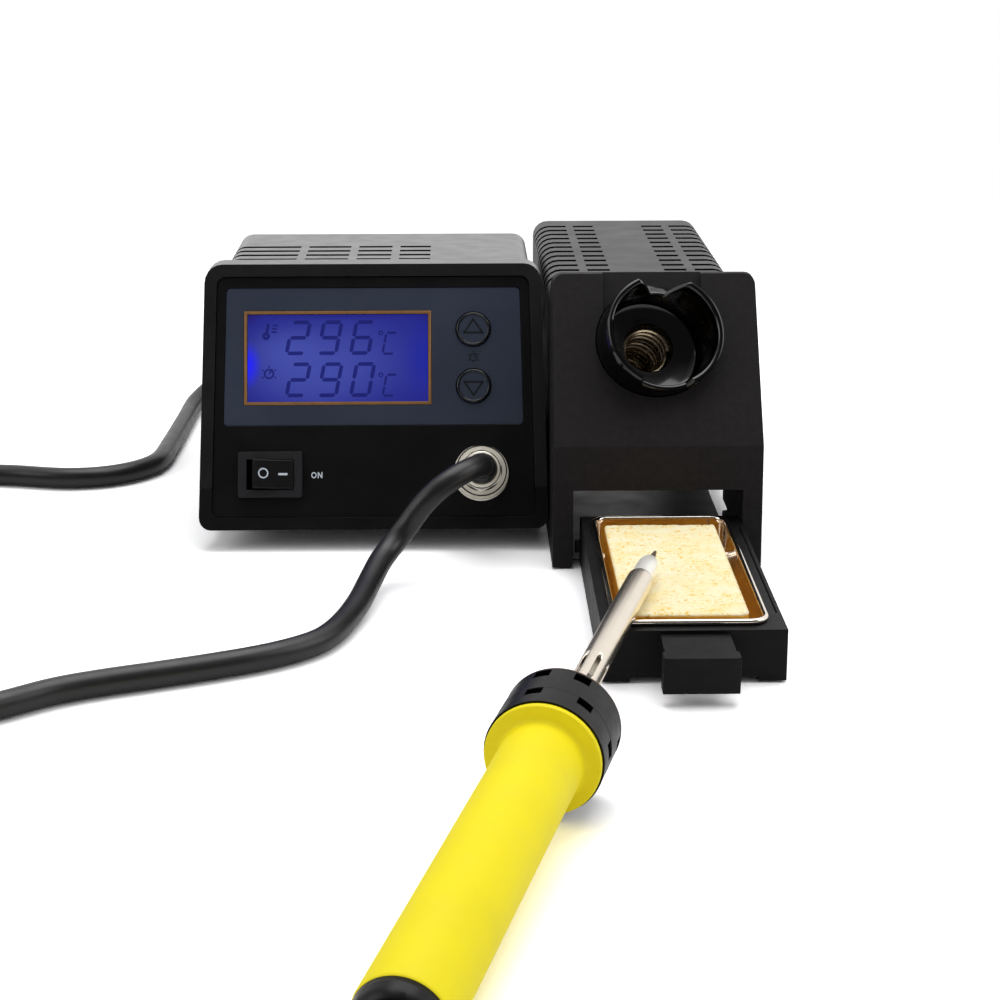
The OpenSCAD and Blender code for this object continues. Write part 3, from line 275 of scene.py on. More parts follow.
F["keyrim"] = Finish("key_rim", (15, 17, 21), 0.22, spec=0.6).mottle(300, 0.1)
F["brass"] = Finish("edge_brown_painted_sheen", (120, 92, 72), 0.3, metal=0.6).mottle(300, 0.1)
F["shade"] = Finish("plug_shade", (58, 46, 36), 0.3, metal=0.5).mottle(300, 0.1)
F["gold"] = Finish("bezel_gold", (138, 98, 56), 0.4, metal=0.2).mottle(400, 0.1)
F["white"] = Finish("print_white", (196, 206, 216), 0.45, spec=0.3).mottle(600, 0.06)
F["switch"] = Finish("switch_black", (34, 32, 35), 0.36, spec=0.5).mottle(300, 0.1).grain(5000, 0.00001)
F["rocker"] = Finish("rocker_black", (19, 18, 20), 0.3, spec=0.35).mottle(200, 0.08).grain(4000, 0.000006)
F["holder"] = Finish("holder_black", (24, 21, 23), 0.6, spec=0.2).mottle(500, 0.16).vary(300, 0.06)
F["holder"].grain(1500, 0.00005, 3)
F["shell"] = Finish("shell_black", (20, 20, 23), 0.42, spec=0.42).mottle(60, 0.1).vary(90, 0.04)
# painted shade on the walls of the shell's slots
F["shell"].grain(2200, 0.00002).painted_shade_walls(*SHELL_SLOTS)
F["funnel"] = Finish("funnel_black", (2, 2, 2), 0.12, spec=0.45, coat=0.2, coat_rough=0.06).mottle(80, 0.2)
F["drawer"] = Finish("drawer_black", (14, 13, 14), 0.5, spec=0.16).mottle(80, 0.1).vary(120, 0.06)
F["drawer"].grain(2400, 0.000025)
# partly real plated metal, partly painted reflection: only about a third metallic, with a pale diffuse colour that
# stands in for the light the plating reflects
F["chrome_and_painted_sheen"] = Finish("plug_chrome", (255, 248, 234), 0.2, metal=0.35, spec=0.6).mottle(300, 0.03).vary(500, 0.04)
F["steel"] = Finish("steel", (170, 170, 172), 0.35, metal=1.0).mottle(400, 0.1).vary(600, 0.08)
F["barrel"] = Finish("barrel_steel", (240, 229, 214), 0.24, metal=1.0).mottle(200, 0.02)
F["sleeve"] = Finish("sleeve_steel", (255, 252, 244), 0.3, metal=0.5, spec=0.5).mottle(300, 0.02)
F["tip"] = Finish("tip_iron", (98, 82, 64), 0.5, metal=0.35, spec=0.4).mottle(700, 0.25).vary(900, 0.1)
F["tip"].grain(2500, 0.00002)
F["feet"] = Finish("feet_rubber", (24, 24, 25), 0.75, spec=0.3).mottle(300, 0.2).grain(2500, 0.00005)
F["cord"] = Finish("cord_black", (26, 25, 27), 0.36, spec=0.45).mottle(120, 0.12).vary(200, 0.05)
F["cord"].grain(1800, 0.00002)
F["cap_black"] = Finish("collar_black", (5, 5, 6), 0.34, spec=0.18).mottle(200, 0.12).vary(300, 0.05)
F["cap_black"].grain(2500, 0.000012)
F["grip"] = Finish("grip_yellow", (246, 228, 14), 0.6, spec=0.3).mottle(60, 0.03).vary(120, 0.05)
F["grip"].grain(1600, 0.00003)
F["dish"] = Finish("dish_steel", (240, 230, 216), 0.12, metal=1.0).mottle(120, 0.03).vary(300, 0.03)
F["spring"] = Finish("spring_wire", (236, 214, 178), 0.25, metal=1.0).mottle(600, 0.15).vary(900, 0.08)
F["board"] = Finish("board_green", (24, 78, 46), 0.45).mottle(600, 0.2)
F["copper"] = Finish("copper_winding", (168, 96, 44), 0.35, metal=0.9).mottle(1500, 0.2)
F["core"] = Finish("core_steel", (92, 94, 98), 0.45, metal=0.8).mottle(400, 0.15)
F["ceramic"] = Finish("ceramic_white", (228, 222, 208), 0.4).mottle(400, 0.05)

finish_of = {
    "base_tray": "case", "top_cover": "cover", "front_panel": "panel", "rear_panel": "case",
    "display_overlay": "film", "display_bezel": "gold", "lcd_module": "switch", "control_board": "board",
    "board_screws": "steel", "transformer_core": "core", "transformer_coil": "copper",
    "transformer_screws": "steel", "button_up": "film", "button_down": "film", "tact_switches": "switch",
    "switch_frame": "switch", "rocker": "rocker", "switch_terminals": "steel", "socket_body": "chrome_and_painted_sheen",
    "socket_nut": "chrome_and_painted_sheen", "plug_ring": "chrome_and_painted_sheen", "plug_body": "chrome_and_painted_sheen", "unit_feet": "feet",
    "case_screws": "steel", "fuse_holder": "switch", "mains_gland": "case", "mains_cord": "cord",
    "mains_cord_coil": "cord", "mains_plug_body": "cord", "mains_plug_pins": "chrome_and_painted_sheen", "iron_cord": "cord",
    "iron_cord_coil": "cord", "iron_cord_return": "cord", "holder_front": "holder", "holder_rear": "shell",
    "iron_funnel": "funnel", "funnel_screws": "steel", "holder_coil": "spring", "holder_screws": "steel",
    "holder_link": "case", "holder_feet": "feet", "drawer": "drawer", "sponge_dish": "dish",
    "sponge": "grip", "tip": "tip", "tip_sleeve": "sleeve", "heater": "ceramic", "barrel": "barrel",
    "barrel_washer": "steel", "collar_front": "cap_black", "collar_rear": "cap_black",
    "handle_core": "cap_black", "grip": "grip", "handle_screws": "steel", "iron_strain_relief": "feet",
}
for name, key in finish_of.items():
    put(nodes[name], F[key])

# Widths of the rounded edges, in metres
EDGE = {
    "base_tray": 0.0005, "top_cover": 0.00016, "front_panel": 0.0005, "holder_front": 0.0005,
    "holder_rear": 0.00014, "drawer": 0.0005, "switch_frame": 0.0003, "rocker": 0.0003,
    "iron_funnel": 0.0004, "rear_panel": 0.0003, "display_overlay": 0.0002, "button_up": 0.0003,
    "button_down": 0.0003, "barrel": 0.00015, "collar_front": 0.0003, "collar_rear": 0.0003,
    "mains_plug_body": 0.0012, "socket_body": 0.0003, "plug_ring": 0.0003, "plug_body": 0.0003,
    "mains_gland": 0.0004, "fuse_holder": 0.0003,
}
for name, obj in nodes.items():
    soften(obj, EDGE.get(name, 0.0))


# ---------------------------------------------------------------- meshes
def mesh(name, verts, faces, finish, body, at=STATION, smooth=True, sharp=None):
    """A piece from local points in millimetres, riding on a body."""
    data = bpy.data.meshes.new(name)
    data.from_pydata([at @ Vector(v) for v in verts], [], faces)
    data.validate()
    tidy = bmesh.new()
    tidy.from_mesh(data)
    bmesh.ops.remove_doubles(tidy, verts=tidy.verts, dist=1e-7)
    bmesh.ops.recalc_face_normals(tidy, faces=tidy.faces)
    tidy.to_mesh(data)
    tidy.free()
    obj = bpy.data.objects.new(name, data)
    scene.collection.objects.link(obj)
    for p in data.polygons:
        p.use_smooth = smooth
    if sharp is not None:
        data.set_sharp_from_angle(angle=math.radians(sharp))
    put(obj, finish)
    if body:
        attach(obj, body)
    return obj


def between(u, v, low, high, x):
    """What is u at low and v at high, read at x."""
    return (high - x) / (high - low) * u + (x - low) / (high - low) * v


def sampled(points, step):
    """A smooth way through the points (Catmull-Rom on the chord length), one point per step."""
    p = np.array(points, float)
    d = np.sqrt(np.linalg.norm(np.diff(p, axis=0), axis=1))
    t = np.concatenate([[0], np.cumsum(d)])
    p = np.vstack([2 * p[0] - p[1], p, 2 * p[-1] - p[-2]])
    t = np.concatenate([[-d[0]], t, [t[-1] + d[-1]]])
    out = []
    for i in range(1, len(p) - 2):
        n = max(2, int(np.linalg.norm(p[i + 1] - p[i]) / (step * 0.25)))
        for k in range(n):
            x = t[i] + (t[i + 1] - t[i]) * k / n
            a = [between(p[j], p[j + 1], t[j], t[j + 1], x) for j in (i - 1, i, i + 1)]
            b = [between(a[j - i + 1], a[j - i + 2], t[j], t[j + 2], x) for j in (i - 1, i)]
            out.append(between(b[0], b[1], t[i], t[i + 1], x))
    out.append(p[-2])
    out = np.array(out)
    s = np.concatenate([[0], np.cumsum(np.linalg.norm(np.diff(out, axis=0), axis=1))])
    n = max(2, int(round(s[-1] / step)))
    u = np.linspace(0, s[-1], n + 1)
    return np.stack([np.interp(u, s, out[:, k]) for k in range(3)], 1)


def tube(path, radius, sides=20, ends=True):
    """Verts and faces of a tube along a path, in the path's own frame."""
    p = np.array(path, float)
    tan = np.gradient(p, axis=0)
    tan /= np.linalg.norm(tan, axis=1)[:, None]
    up = np.array([0, 0, 1.0])
    if abs(tan[0] @ up) > 0.9:
        up = np.array([1.0, 0, 0])
    u = np.cross(tan[0], up)
    verts, faces = [], []
    for i in range(len(p)):
        u = u - tan[i] * (u @ tan[i])
        u /= np.linalg.norm(u)
        v = np.cross(tan[i], u)
        r = radius[i] if hasattr(radius, "__len__") else radius
        for k in range(sides):
            a = 2 * math.pi * k / sides
            verts.append(p[i] + r * (math.cos(a) * u + math.sin(a) * v))
    for i in range(len(p) - 1):
        for k in range(sides):
            a, b = i * sides + k, i * sides + (k + 1) % sides
            faces.append((a, b, b + sides, a + sides))
    if ends:
        faces.append(tuple(reversed(range(sides))))
        faces.append(tuple(range((len(p) - 1) * sides, len(p) * sides)))
    return verts, faces


# ---------------------------------------------------------------- leads
LEAD_R, LEAD_STEP = 3.8, 2.6


def turns(centre, keys, step=6):
    """Points of a wound coil: keys are (angle, radius, height), eased from one to the next."""
    out = []
    for (a0, r0, z0), (a1, r1, z1) in zip(keys, keys[1:]):
        n = max(1, int(abs(a1 - a0) / step))
        for i in range(n):
            f = i / n
            e = f * f * (3 - 2 * f)
            a = math.radians(a0 + (a1 - a0) * f)
            out.append((*polar(r0 + (r1 - r0) * e, a, centre), z0 + (z1 - z0) * e))
    a, r, z = keys[-1]
    out.append((*polar(r, math.radians(a), centre), z))
    return out


def wound(centre, start, end, radii, heights, step=6):
    """Points of a wound coil whose radius and height each follow keys of (angle, value), eased between keys."""
    def at(keys, a):
        for (a0, v0), (a1, v1) in zip(keys, keys[1:]):
            if a <= a1:
                f = max(0.0, (a - a0) / (a1 - a0))
                return v0 + (v1 - v0) * f * f * (3 - 2 * f)
        return keys[-1][1]
    out = []
    n = int((end - start) / step)
    for i in range(n + 1):
        a = start + (end - start) * i / n
        out.append((*polar(at(radii, a), math.radians(a), centre), at(heights, a)))
    return out


iron_out = [
    (36.4, -11.5, 32.35), (36.4, -14.6, 33.6), (34.8, -18.5, 34.5), (31.1, -23.4, 34.3), (26.1, -27.3, 32.4),
    (21, -29.5, 28.9), (16.4, -30.2, 24.1), (12.8, -30.4, 19.1), (9.2, -32.2, 14.8), (6, -36, 11.7), (3.7, -41.2, 9.8),
    (1.7, -48.7, 8), (0, -56.3, 6.5), (-2.3, -67.9, 5.1), (-5.3, -79.4, 4.2), (-8.6, -90, 4), (-12.6, -97.8, 3.9),
    (-18.4, -104, 3.9), (-28, -110.7, 3.9), (-42, -117.5, 3.9), (-57, -123.7, 3.9), (-71, -129.2, 3.9),
    (-83, -135.2, 3.9), (-94.5, -144.2, 3.9), (-108, -154.4, 3.9), (-122.5, -165.5, 3.9), (-138, -178, 3.9),
    (-149, -187.2, 3.9), (-159, -195.6, 3.9), (-167, -202.3, 3.9)]
iron_turns = turns((-143, -246), [
    (130, 48.9, 3.9), (440, 48.9, 3.9), (482, 41.1, 3.9), (757, 41.1, 3.9), (782, 41.2, 9), (806, 44.2, 12),
    (850, 45, 12.2), (885, 45, 10.9), (955, 45, 11.2)])
iron_back = [
    (-160.6, -288.7, 12), (-153, -294.1, 12.0), (-146, -299, 10.6), (-133, -308, 7.2), (-120, -317.2, 4.8),
    (-106, -327, 3.9), (-91, -337.6, 3.9), (-76, -348, 3.9), (-61, -358.6, 3.9), (-46, -369, 3.9), (-36, -376, 3.9),
    (-27.4, -381.6, 3.9), (-18, -384.8, 4), (-8.4, -383.8, 4.9), (-1, -378.8, 6.4), (3, -371.6, 8), (5.8, -361.9, 8.7)]
mains_out = [
    (-22, 170, 32), (-22, 176, 32), (-22.8, 182, 31.6), (-25.2, 190.4, 30.7), (-29.7, 198.8, 28.9),
    (-36.4, 206.4, 26.2), (-44.7, 211.3, 22.8), (-54, 213.2, 18.9), (-63.2, 211.6, 14.8), (-71.4, 206.8, 11.1),
    (-77.9, 199.4, 7.9), (-81.8, 190.2, 5.5), (-83.2, 180, 4.2), (-83.5, 166, 3.9), (-83.9, 150, 3.9),
    (-84.3, 134, 3.9), (-84.8, 120.6, 3.9), (-85.3, 107.5, 3.9), (-87.5, 96.5, 3.9), (-93.6, 87, 3.9),
    (-102.4, 80.7, 3.9), (-111, 78.3, 3.9), (-119.5, 78.2, 3.9), (-128, 80, 3.9), (-137, 82.3, 3.9),
    (-146.5, 83.4, 3.9), (-157, 82.6, 3.9), (-171, 79, 3.9), (-184, 74.4, 3.9), (-193, 70.6, 3.9),
    (-203, 66.8, 3.9), (-211, 63.9, 3.9)]
mains_turns = wound((-205.7, 17.2), 106, 1620,
                    radii=[(106, 45.9), (363, 45.9), (458, 38.1), (1000, 38.1), (1095, 45.9), (1360, 45.9),
                           (1450, 42), (1620, 42)],
                    heights=[(106, 3.9), (690, 3.9), (775, 11.6), (1325, 11.6), (1415, 19.3), (1500, 19.3),
                             (1620, 18.7)])
mains_in = [(-247.7, 8, 19.2), (-247.7, -1.3, 19.3), (-247.7, -7, 18.8), (-247.7, -11.4, 18.6)]


def lead(name, points, stands_for=(), body="station", head=0, tail=None):
    """A free lead along its points, or along the part of them from step head to step tail."""
    path = sampled(points, LEAD_STEP)[head:tail]
    verts, faces = tube(path, LEAD_R)
    obj = mesh(name, verts, faces, F["cord"], body, smooth=True, sharp=50)
    if stands_for:
        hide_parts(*stands_for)
    return obj


# The iron's lead is in two pieces: the last one rides on no body.
SPLIT_AT, GIVES_TO = (-91, -337.6, 3.9), (1, -377, 6.6)
whole = iron_out + iron_turns + iron_back
near = int(np.argmin(np.linalg.norm(sampled(whole, LEAD_STEP) - np.array(SPLIT_AT), axis=1)))
lead("iron_lead", whole, ["iron_cord", "iron_cord_coil", "iron_cord_return"], tail=near + 1)
iron_tail = lead("iron_lead_end", whole, body=None, head=near)
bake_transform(iron_tail)
lead("mains_lead", mains_out + mains_turns + mains_in, ["mains_cord", "mains_cord_coil"])


# ---------------------------------------------------------------- builders for flat and turned pieces
class Build:
    """Collects closed shapes in one mesh, in local millimetres."""

    def __init__(self):
        self.v, self.f = [], []

    def add(self, verts, faces):
        k = len(self.v)
        self.v += [tuple(p) for p in verts]
        self.f += [tuple(i + k for i in face) for face in faces]
        return self

    def prism(self, outline, z0, z1):
        """A flat shape with a counter-clockwise outline, from z0 to z1 (each a number or a function of x)."""
        lift = lambda z, p: z(p[0]) if callable(z) else z
        n = len(outline)
        verts = [(x, y, lift(z0, (x, y))) for x, y in outline] + [(x, y, lift(z1, (x, y))) for x, y in outline]
        faces = [tuple(reversed(range(n))), tuple(range(n, 2 * n))]
        faces += [(i, (i + 1) % n, n + (i + 1) % n, n + i) for i in range(n)]
        return self.add(verts, faces)

    def bar(self, p, q, width, z0, z1):
        """A straight stroke from p to q."""
        (ax, ay), (bx, by) = p, q
        d = Vector((bx - ax, by - ay)).normalized() * width / 2
        corners = [(ax + d.y, ay - d.x), (bx + d.y, by - d.x), (bx - d.y, by + d.x), (ax - d.y, ay + d.x)]
        return self.prism(corners, z0, z1)

    def lathe(self, profile, sides=64, centre=(0, 0), stretch=1.0):
        """A closed ring turned about local Z; the profile is a loop of (radius, z)."""
        m = len(profile)
        verts = []
        for i in range(sides):
            a = 2 * math.pi * i / sides
            for r, z in profile:
                x = centre[0] + r * math.cos(a)
                verts.append((x, centre[1] + stretch * r * math.sin(a), z(x) if callable(z) else z))
        faces = []
        for i in range(sides):
            j = (i + 1) % sides
            for k in range(m):
                l = (k + 1) % m
                faces.append((i * m + k, j * m + k, j * m + l, i * m + l))
        return self.add(verts, faces)

    def ring(self, r0, r1, z0, z1, sides=48, centre=(0, 0), stretch=1.0):
        return self.lathe([(r1, z0), (r1, z1), (r0, z1), (r0, z0)], sides, centre, stretch)

    def torus(self, radius, wire, z, sides=64, around=14, centre=(0, 0)):
        loop = [polar(wire, 2 * math.pi * k / around, (radius, z)) for k in range(around)]
        return self.lathe(loop, sides, centre)

    def tube(self, path, radius, sides=10):
        verts, faces = tube(path, radius, sides)
        return self.add(verts, faces)

    def piece(self, name, finish, body, at, slot, smooth=True, sharp=35):
        return mesh(name, self.v, self.f, finish, body, at, smooth, sharp)


# ---------------------------------------------------------------- display
WINDOW = (-12.15, 58.95)
WINDOW_W, WINDOW_H = 61.7, 30.3
SCREEN_Z = -1.59
INK_Z = (SCREEN_Z - 0.01, SCREEN_Z + 0.04)


def face_space(f, at=FACE):
    """Object coordinates turned into a leaning face's own millimetres."""
    turn = at.to_3x3().normalized().transposed()
    n = f.node("ShaderNodeMapping")
    n.inputs["Scale"].default_value = (1000, 1000, 1000)
    n.inputs["Rotation"].default_value = turn.to_euler("XYZ")
    n.inputs["Location"].default_value = -(turn @ at.translation) * 1000
    f.link(f.at, n.inputs["Vector"])
    return n.outputs[0]


def spot(f, at, centre, radii, rim=1.0, heart=0.0):
    """1 at the middle of an ellipse on the face, 0 at its rim."""
    n = f.node("ShaderNodeMapping")
    n.inputs["Scale"].default_value = (1 / radii[0], 1 / radii[1], 0)
    n.inputs["Location"].default_value = (-centre[0] / radii[0], -centre[1] / radii[1], 0)
    f.link(at, n.inputs["Vector"])
    d = f.node("ShaderNodeVectorMath", operation="LENGTH")
    f.link(n.outputs[0], d.inputs[0])
    m = f.node("ShaderNodeMapRange", interpolation_type="SMOOTHSTEP")
    m.inputs[1].default_value, m.inputs[2].default_value = heart, rim
    m.inputs[3].default_value, m.inputs[4].default_value = 1.0, 0.0
    f.link(d.outputs["Value"], m.inputs[0])
    return m.outputs[0]


def lit(name, layers, rough=0.25, spec=0.25):
    """A backlit surface: its first colour, and spots over it as (centre, radii, colour, strength)."""
    f = Finish(name, (8, 8, 20), rough, spec=spec)
    at = face_space(f)
    colour = lin(layers[0])
    for centre, radii, tone, amount in layers[1:]:
        colour = f.mix(f.span(spot(f, at, centre, radii), 0.0, amount), colour, lin(tone))
    grain = f.span(f.noise(2500, 2), 0.94, 1.06, 0.3, 0.7)
    shade = f.node("ShaderNodeVectorMath", operation="SCALE")
    f.link(colour, shade.inputs[0])
    f.link(grain, shade.inputs["Scale"])
    f.link(shade.outputs[0], f.b.inputs["Emission Color"])
    f.b.inputs["Emission Strength"].default_value = 1.0
    return f


F["screen"] = lit("display_lit", [
    (34, 36, 132),
    ((-14, 58), (44, 24), (60, 69, 156), 1.0),
    ((-22, 54), (30, 17), (66, 76, 164), 0.8),
    ((-30, 62), (18, 11), (72, 84, 172), 0.5),
    ((19, 59), (12, 18), (26, 36, 156), 0.8),
    ((-12, 75), (38, 4.0), (26, 26, 122), 0.8),
    ((-43.2, 56.5), (6, 9.5), (32, 32, 255), 1.0),
    ((-43, 74), (6, 5), (34, 24, 92), 0.6),
    ((18.7, 74), (5, 4), (34, 24, 96), 0.4)])
F["segment"] = lit("display_segment", [
    (26, 30, 108),
    ((-20, 58), (30, 16), (30, 36, 116), 1.0)], rough=0.35, spec=0.2)

x0, x1 = WINDOW[0] - WINDOW_W / 2 + 0.15, WINDOW[0] + WINDOW_W / 2 - 0.15
s0, s1 = WINDOW[1] - WINDOW_H / 2 + 0.15, WINDOW[1] + WINDOW_H / 2 - 0.15
Build().prism([(x0, s0), (x1, s0), (x1, s1), (x0, s1)], SCREEN_Z - 0.05, SCREEN_Z).piece(
    "display_screen", F["screen"], "station", FACE, "lcd_blue", smooth=False)

# Seven bars of a digit: ends in units of (half width, half height), on a lattice that leans to the right
CELL_W, CELL_H, STROKE, BAR_GAP, SLANT = 7.3, 12.0, 1.3, 0.22, math.tan(math.radians(10.6))
BARS = {"a": ((-1, 1), (1, 1)), "b": ((1, 1), (1, 0)), "c": ((1, 0), (1, -1)), "d": ((-1, -1), (1, -1)),
        "e": ((-1, 0), (-1, -1)), "f": ((-1, 1), (-1, 0)), "g": ((-1, 0), (1, 0))}
DIGITS = {"0": "abcdef", "2": "abged", "6": "acdefg", "9": "abcdfg"}


def leaning(p, foot):
    return (p[0] + (p[1] - foot) * SLANT, p[1])


def digit(build, mark, x, foot):
    """One digit whose lower left corner is at (x, foot)."""
    w, h = (CELL_W - STROKE) / 2, (CELL_H - STROKE) / 2
    cx, cy = x + CELL_W / 2, foot + CELL_H / 2
    for key in DIGITS[mark]:
        (ax, ay), (bx, by) = BARS[key]
        a, b = Vector((cx + ax * w, cy + ay * h)), Vector((cx + bx * w, cy + by * h))
        d = (b - a).normalized()
        n = Vector((-d.y, d.x)) * STROKE / 2
        a, b = a + d * BAR_GAP, b - d * BAR_GAP
        tip = d * STROKE * 0.42
        outline = [a - n + tip, b - n - tip, b, b + n - tip, a + n + tip, a]
        build.prism([leaning(p, foot) for p in outline], *INK_Z)


def dial_mark(build, centre, radius, width, z):
    """A dial with five ticks, for a value that is set."""
    build.ring(radius - width / 2, radius + width / 2, *z, sides=32, centre=centre)
    build.bar(centre, (centre[0] + radius * 0.8, centre[1] + radius), width * 0.9, *z)
    for k in range(5):
        a = math.radians(210 - 60 * k)
        inner, outer = (radius + 0.75 * width + gap for gap in (0.2, 0.8))
        build.bar(polar(inner, a, centre), polar(outer, a, centre), width * 0.8, *z)


ROWS = (("296", 60.0), ("290", 45.5))
DIGIT_X = (-30.4, -19.6, -8.5)
C_BARS = (((3.3, 0.4), (6.6, 0.4)), ((3.0, 0.9), (3.0, 3.6)), ((3.0, 4.1), (3.0, 7.1)), ((3.3, 7.6), (6.3, 7.6)))
figures = Build()
for text, foot in ROWS:
    for mark, x in zip(text, DIGIT_X):
        digit(figures, mark, x, foot)
    # degree sign and C
    figures.ring(0.42, 0.85, *INK_Z, sides=24, centre=(2.5, foot + 7.6))
    for a, b in C_BARS:
        figures.bar(leaning((a[0], foot + a[1]), foot), leaning((b[0], foot + b[1]), foot), 0.8, *INK_Z)
# row marks: a thermometer for the measured value, a dial for the set one
figures.ring(0.3, 1.35, *INK_Z, sides=28, centre=(-36.6, 66.6))
figures.bar((-36.4, 67.8), (-35.8, 70.9), 1.1, *INK_Z)
for k in range(3):
    figures.bar((-34.8 + 0.2 * k, 68.0 + 1.15 * k), (-33.0 + 0.2 * k, 68.0 + 1.15 * k), 0.6, *INK_Z)
dial_mark(figures, (-35.6, 53.6), 1.5, 0.62, INK_Z)
figures.piece("display_digits", F["segment"], "station", FACE, "lcd_blue", smooth=False)

# ---------------------------------------------------------------- keys
KEY_X, KEY_S, KEY_TOP = 34.1, {"button_up": 68.6, "button_down": 49.0}, -0.2
for name, s in KEY_S.items():
    ring = Build().torus(5.28, 0.42, KEY_TOP - 0.05, centre=(KEY_X, s))
    ring.piece(name + "_rim", F["keyrim"], name, FACE, "key_rubber")
    up = 1 if name == "button_up" else -1
    tri = [Vector((-3.15, -1.3 * up)), Vector((3.15, -1.3 * up)), Vector((0, 3.3 * up))]
    mark = Build()
    for a, b in zip(tri, tri[1:] + tri[:1]):
        d = (b - a).normalized() * 0.25
        mark.bar((a.x - d.x + KEY_X, a.y - d.y + s), (b.x + d.x + KEY_X, b.y + d.y + s), 0.66,
                 KEY_TOP - 0.1, KEY_TOP + 0.05)
    mark.piece(name + "_arrow", F["ink"], name, FACE, "key_rubber", smooth=False)
FILM_Z = (-0.95, -0.86)
dial = Build()
dial_mark(dial, (34.1, 58.85), 1.2, 0.42, FILM_Z)
dial.piece("set_mark", F["ink"], "station", FACE, "film_grey", smooth=False)

# ---------------------------------------------------------------- switch marks
ROCKER = FACE @ Matrix.Translation((-34.95, 18.85, -2.2)) @ rot(12, "Y").to_4x4()
ROCKER_HALF = 6.8


def rocker_top(lift):
    """Height of the rocker's face, which dips to its middle."""
    return lambda x: 4.4 + 1.2 * abs(x) / ROCKER_HALF + lift


marks = Build().ring(1.32, 1.78, rocker_top(-0.1), rocker_top(0.04), sides=40, centre=(-3.2, 0.25))
marks.bar((1.9, 0.0), (4.95, 0.0), 0.72, rocker_top(-0.1), rocker_top(0.04))
marks.piece("rocker_marks", F["white"], "rocker", ROCKER, "switch_black", smooth=False)
PANEL_Z = (-0.65, -0.57)
on = Build().ring(0.56, 0.9, *PANEL_Z, sides=32, centre=(-20.25, 18.7), stretch=1.17)
for a, b in (((-18.8, 17.65), (-18.8, 19.75)), ((-18.8, 19.68), (-17.55, 17.72)),
             ((-17.55, 17.65), (-17.55, 19.75))):
    on.bar(a, b, 0.34, *PANEL_Z)
on.piece("switch_on_mark", F["white"], "station", FACE, "panel_black", smooth=False)

# ---------------------------------------------------------------- plug details
SOCKET = FACE @ Matrix.Translation((36.4, 18.85, 0))
BOOT = [(3.7, 13.6), (5.15, 13.6), (5.35, 14.2), (5.3, 15.6), (4.95, 17.6), (4.6, 19.4), (4.3, 20.4),
        (4.0, 20.75), (3.7, 20.8)]
boot = Build().lathe(BOOT, 48)
boot.piece("plug_boot", F["cord"], "station", SOCKET, "cord_black")
collar = Build().torus(5.75, 0.42, 13.35, 64, 14)
collar.piece("plug_clamp", F["chrome_and_painted_sheen"], "station", SOCKET, "plug_chrome")
# the dark ring in the plug ring's groove is painted shade
groove = Build().ring(8.2, 8.62, 9.3, 9.56, 72)
groove.piece("plug_groove", F["ink"], "plug_ring", SOCKET, "plug_chrome", smooth=False)
band = Build().ring(6.3, 6.95, 9.4, 9.56, 72)
band.piece("plug_band", F["shade"], "plug_ring", SOCKET, "plug_chrome", smooth=False)
line = Build().ring(6.12, 6.42, 13.3, 13.47, 72)
line.piece("plug_line", F["ink"], "station", SOCKET, "plug_chrome", smooth=False)
gasket = Build().torus(9.0, 0.35, 1.15, 72, 12)
gasket.piece("plug_seal", F["chrome_and_painted_sheen"], "station", SOCKET, "plug_chrome")

# ---------------------------------------------------------------- funnel and the guide spring behind it
FUNNEL_R, FUNNEL_OUT, FUNNEL_BACK = 19.4, 8.4, -15.0
BORE, BORE_R = (0.9, 1.9), 8.3
# The funnel's section. A "w" point is a wall's and a "t" point the rim's: offset from FUNNEL_R, then height.
# A wall's height from 0 to 1 is a share of the wall above the face, and a rim's height starts at the rim's edge.
# A "b" point is the bore's: offset from BORE_R, then height.
CUP = [("w", 0.0, FUNNEL_BACK), ("w", 0.0, -0.5), ("w", 0.0, 1.2), ("w", 0.1, 0.62), ("t", 0.1, -0.5),
       ("t", -0.1, -0.12), ("t", -0.55, 0.0), ("t", -1.2, -0.05), ("t", -1.65, -0.45), ("t", -1.9, -1.3),
       ("w", -1.95, 0.6), ("w", -2.0, -6.0), ("w", -2.6, -11.6), ("w", -4.4, -12.8),
       ("b", 1.6, -13.0), ("b", 0.35, -13.1), ("b", 0.0, -13.5), ("b", 0.0, FUNNEL_BACK)]
LEAN_X, LEAN_Y, LEAN_FROM = 1.5, 0.8, 0.6


def notch(a, middle, half, flat):
    """1 in the flat part of a notch round the rim, falling to 0 at its ends (all in degrees but a)."""
    off = abs((math.degrees(a) - middle + 180) % 360 - 180)
    return min(1.0, max(0.0, (half - off) / (half - flat)))


def funnel_mesh(sides=160):
    """The cup that takes the iron: it leans a little, its rim is pinched in a V above and stepped below."""
    verts, faces = [], []
    m = len(CUP)
    for i in range(sides):
        a = 2 * math.pi * i / sides
        vee, step = notch(a, 90, 27, 9), notch(a, 270, 27, 23)
        top = FUNNEL_OUT - 5.6 * vee - 2.6 * step
        for kind, off, z in CUP:
            if kind == "b":
                verts.append((*polar(BORE_R + off, a, BORE), z))
                continue
            if kind == "t":
                z = top + z
            elif 0 < z < 1:
                z = 1.2 + (top - 1.7 - 1.2) * z
            lean = max(0.0, z - LEAN_FROM) / (FUNNEL_OUT - LEAN_FROM)
            r = FUNNEL_R + off - 3.6 * vee * min(1.0, max(0.0, z) / 2.5)
            verts.append((*polar(r, a, (LEAN_X * lean, LEAN_Y * lean)), z))
    for i in range(sides):
        j = (i + 1) % sides
        for k in range(m):
            l = (k + 1) % m
            faces.append((i * m + k, j * m + k, j * m + l, i * m + l))
    return verts, faces


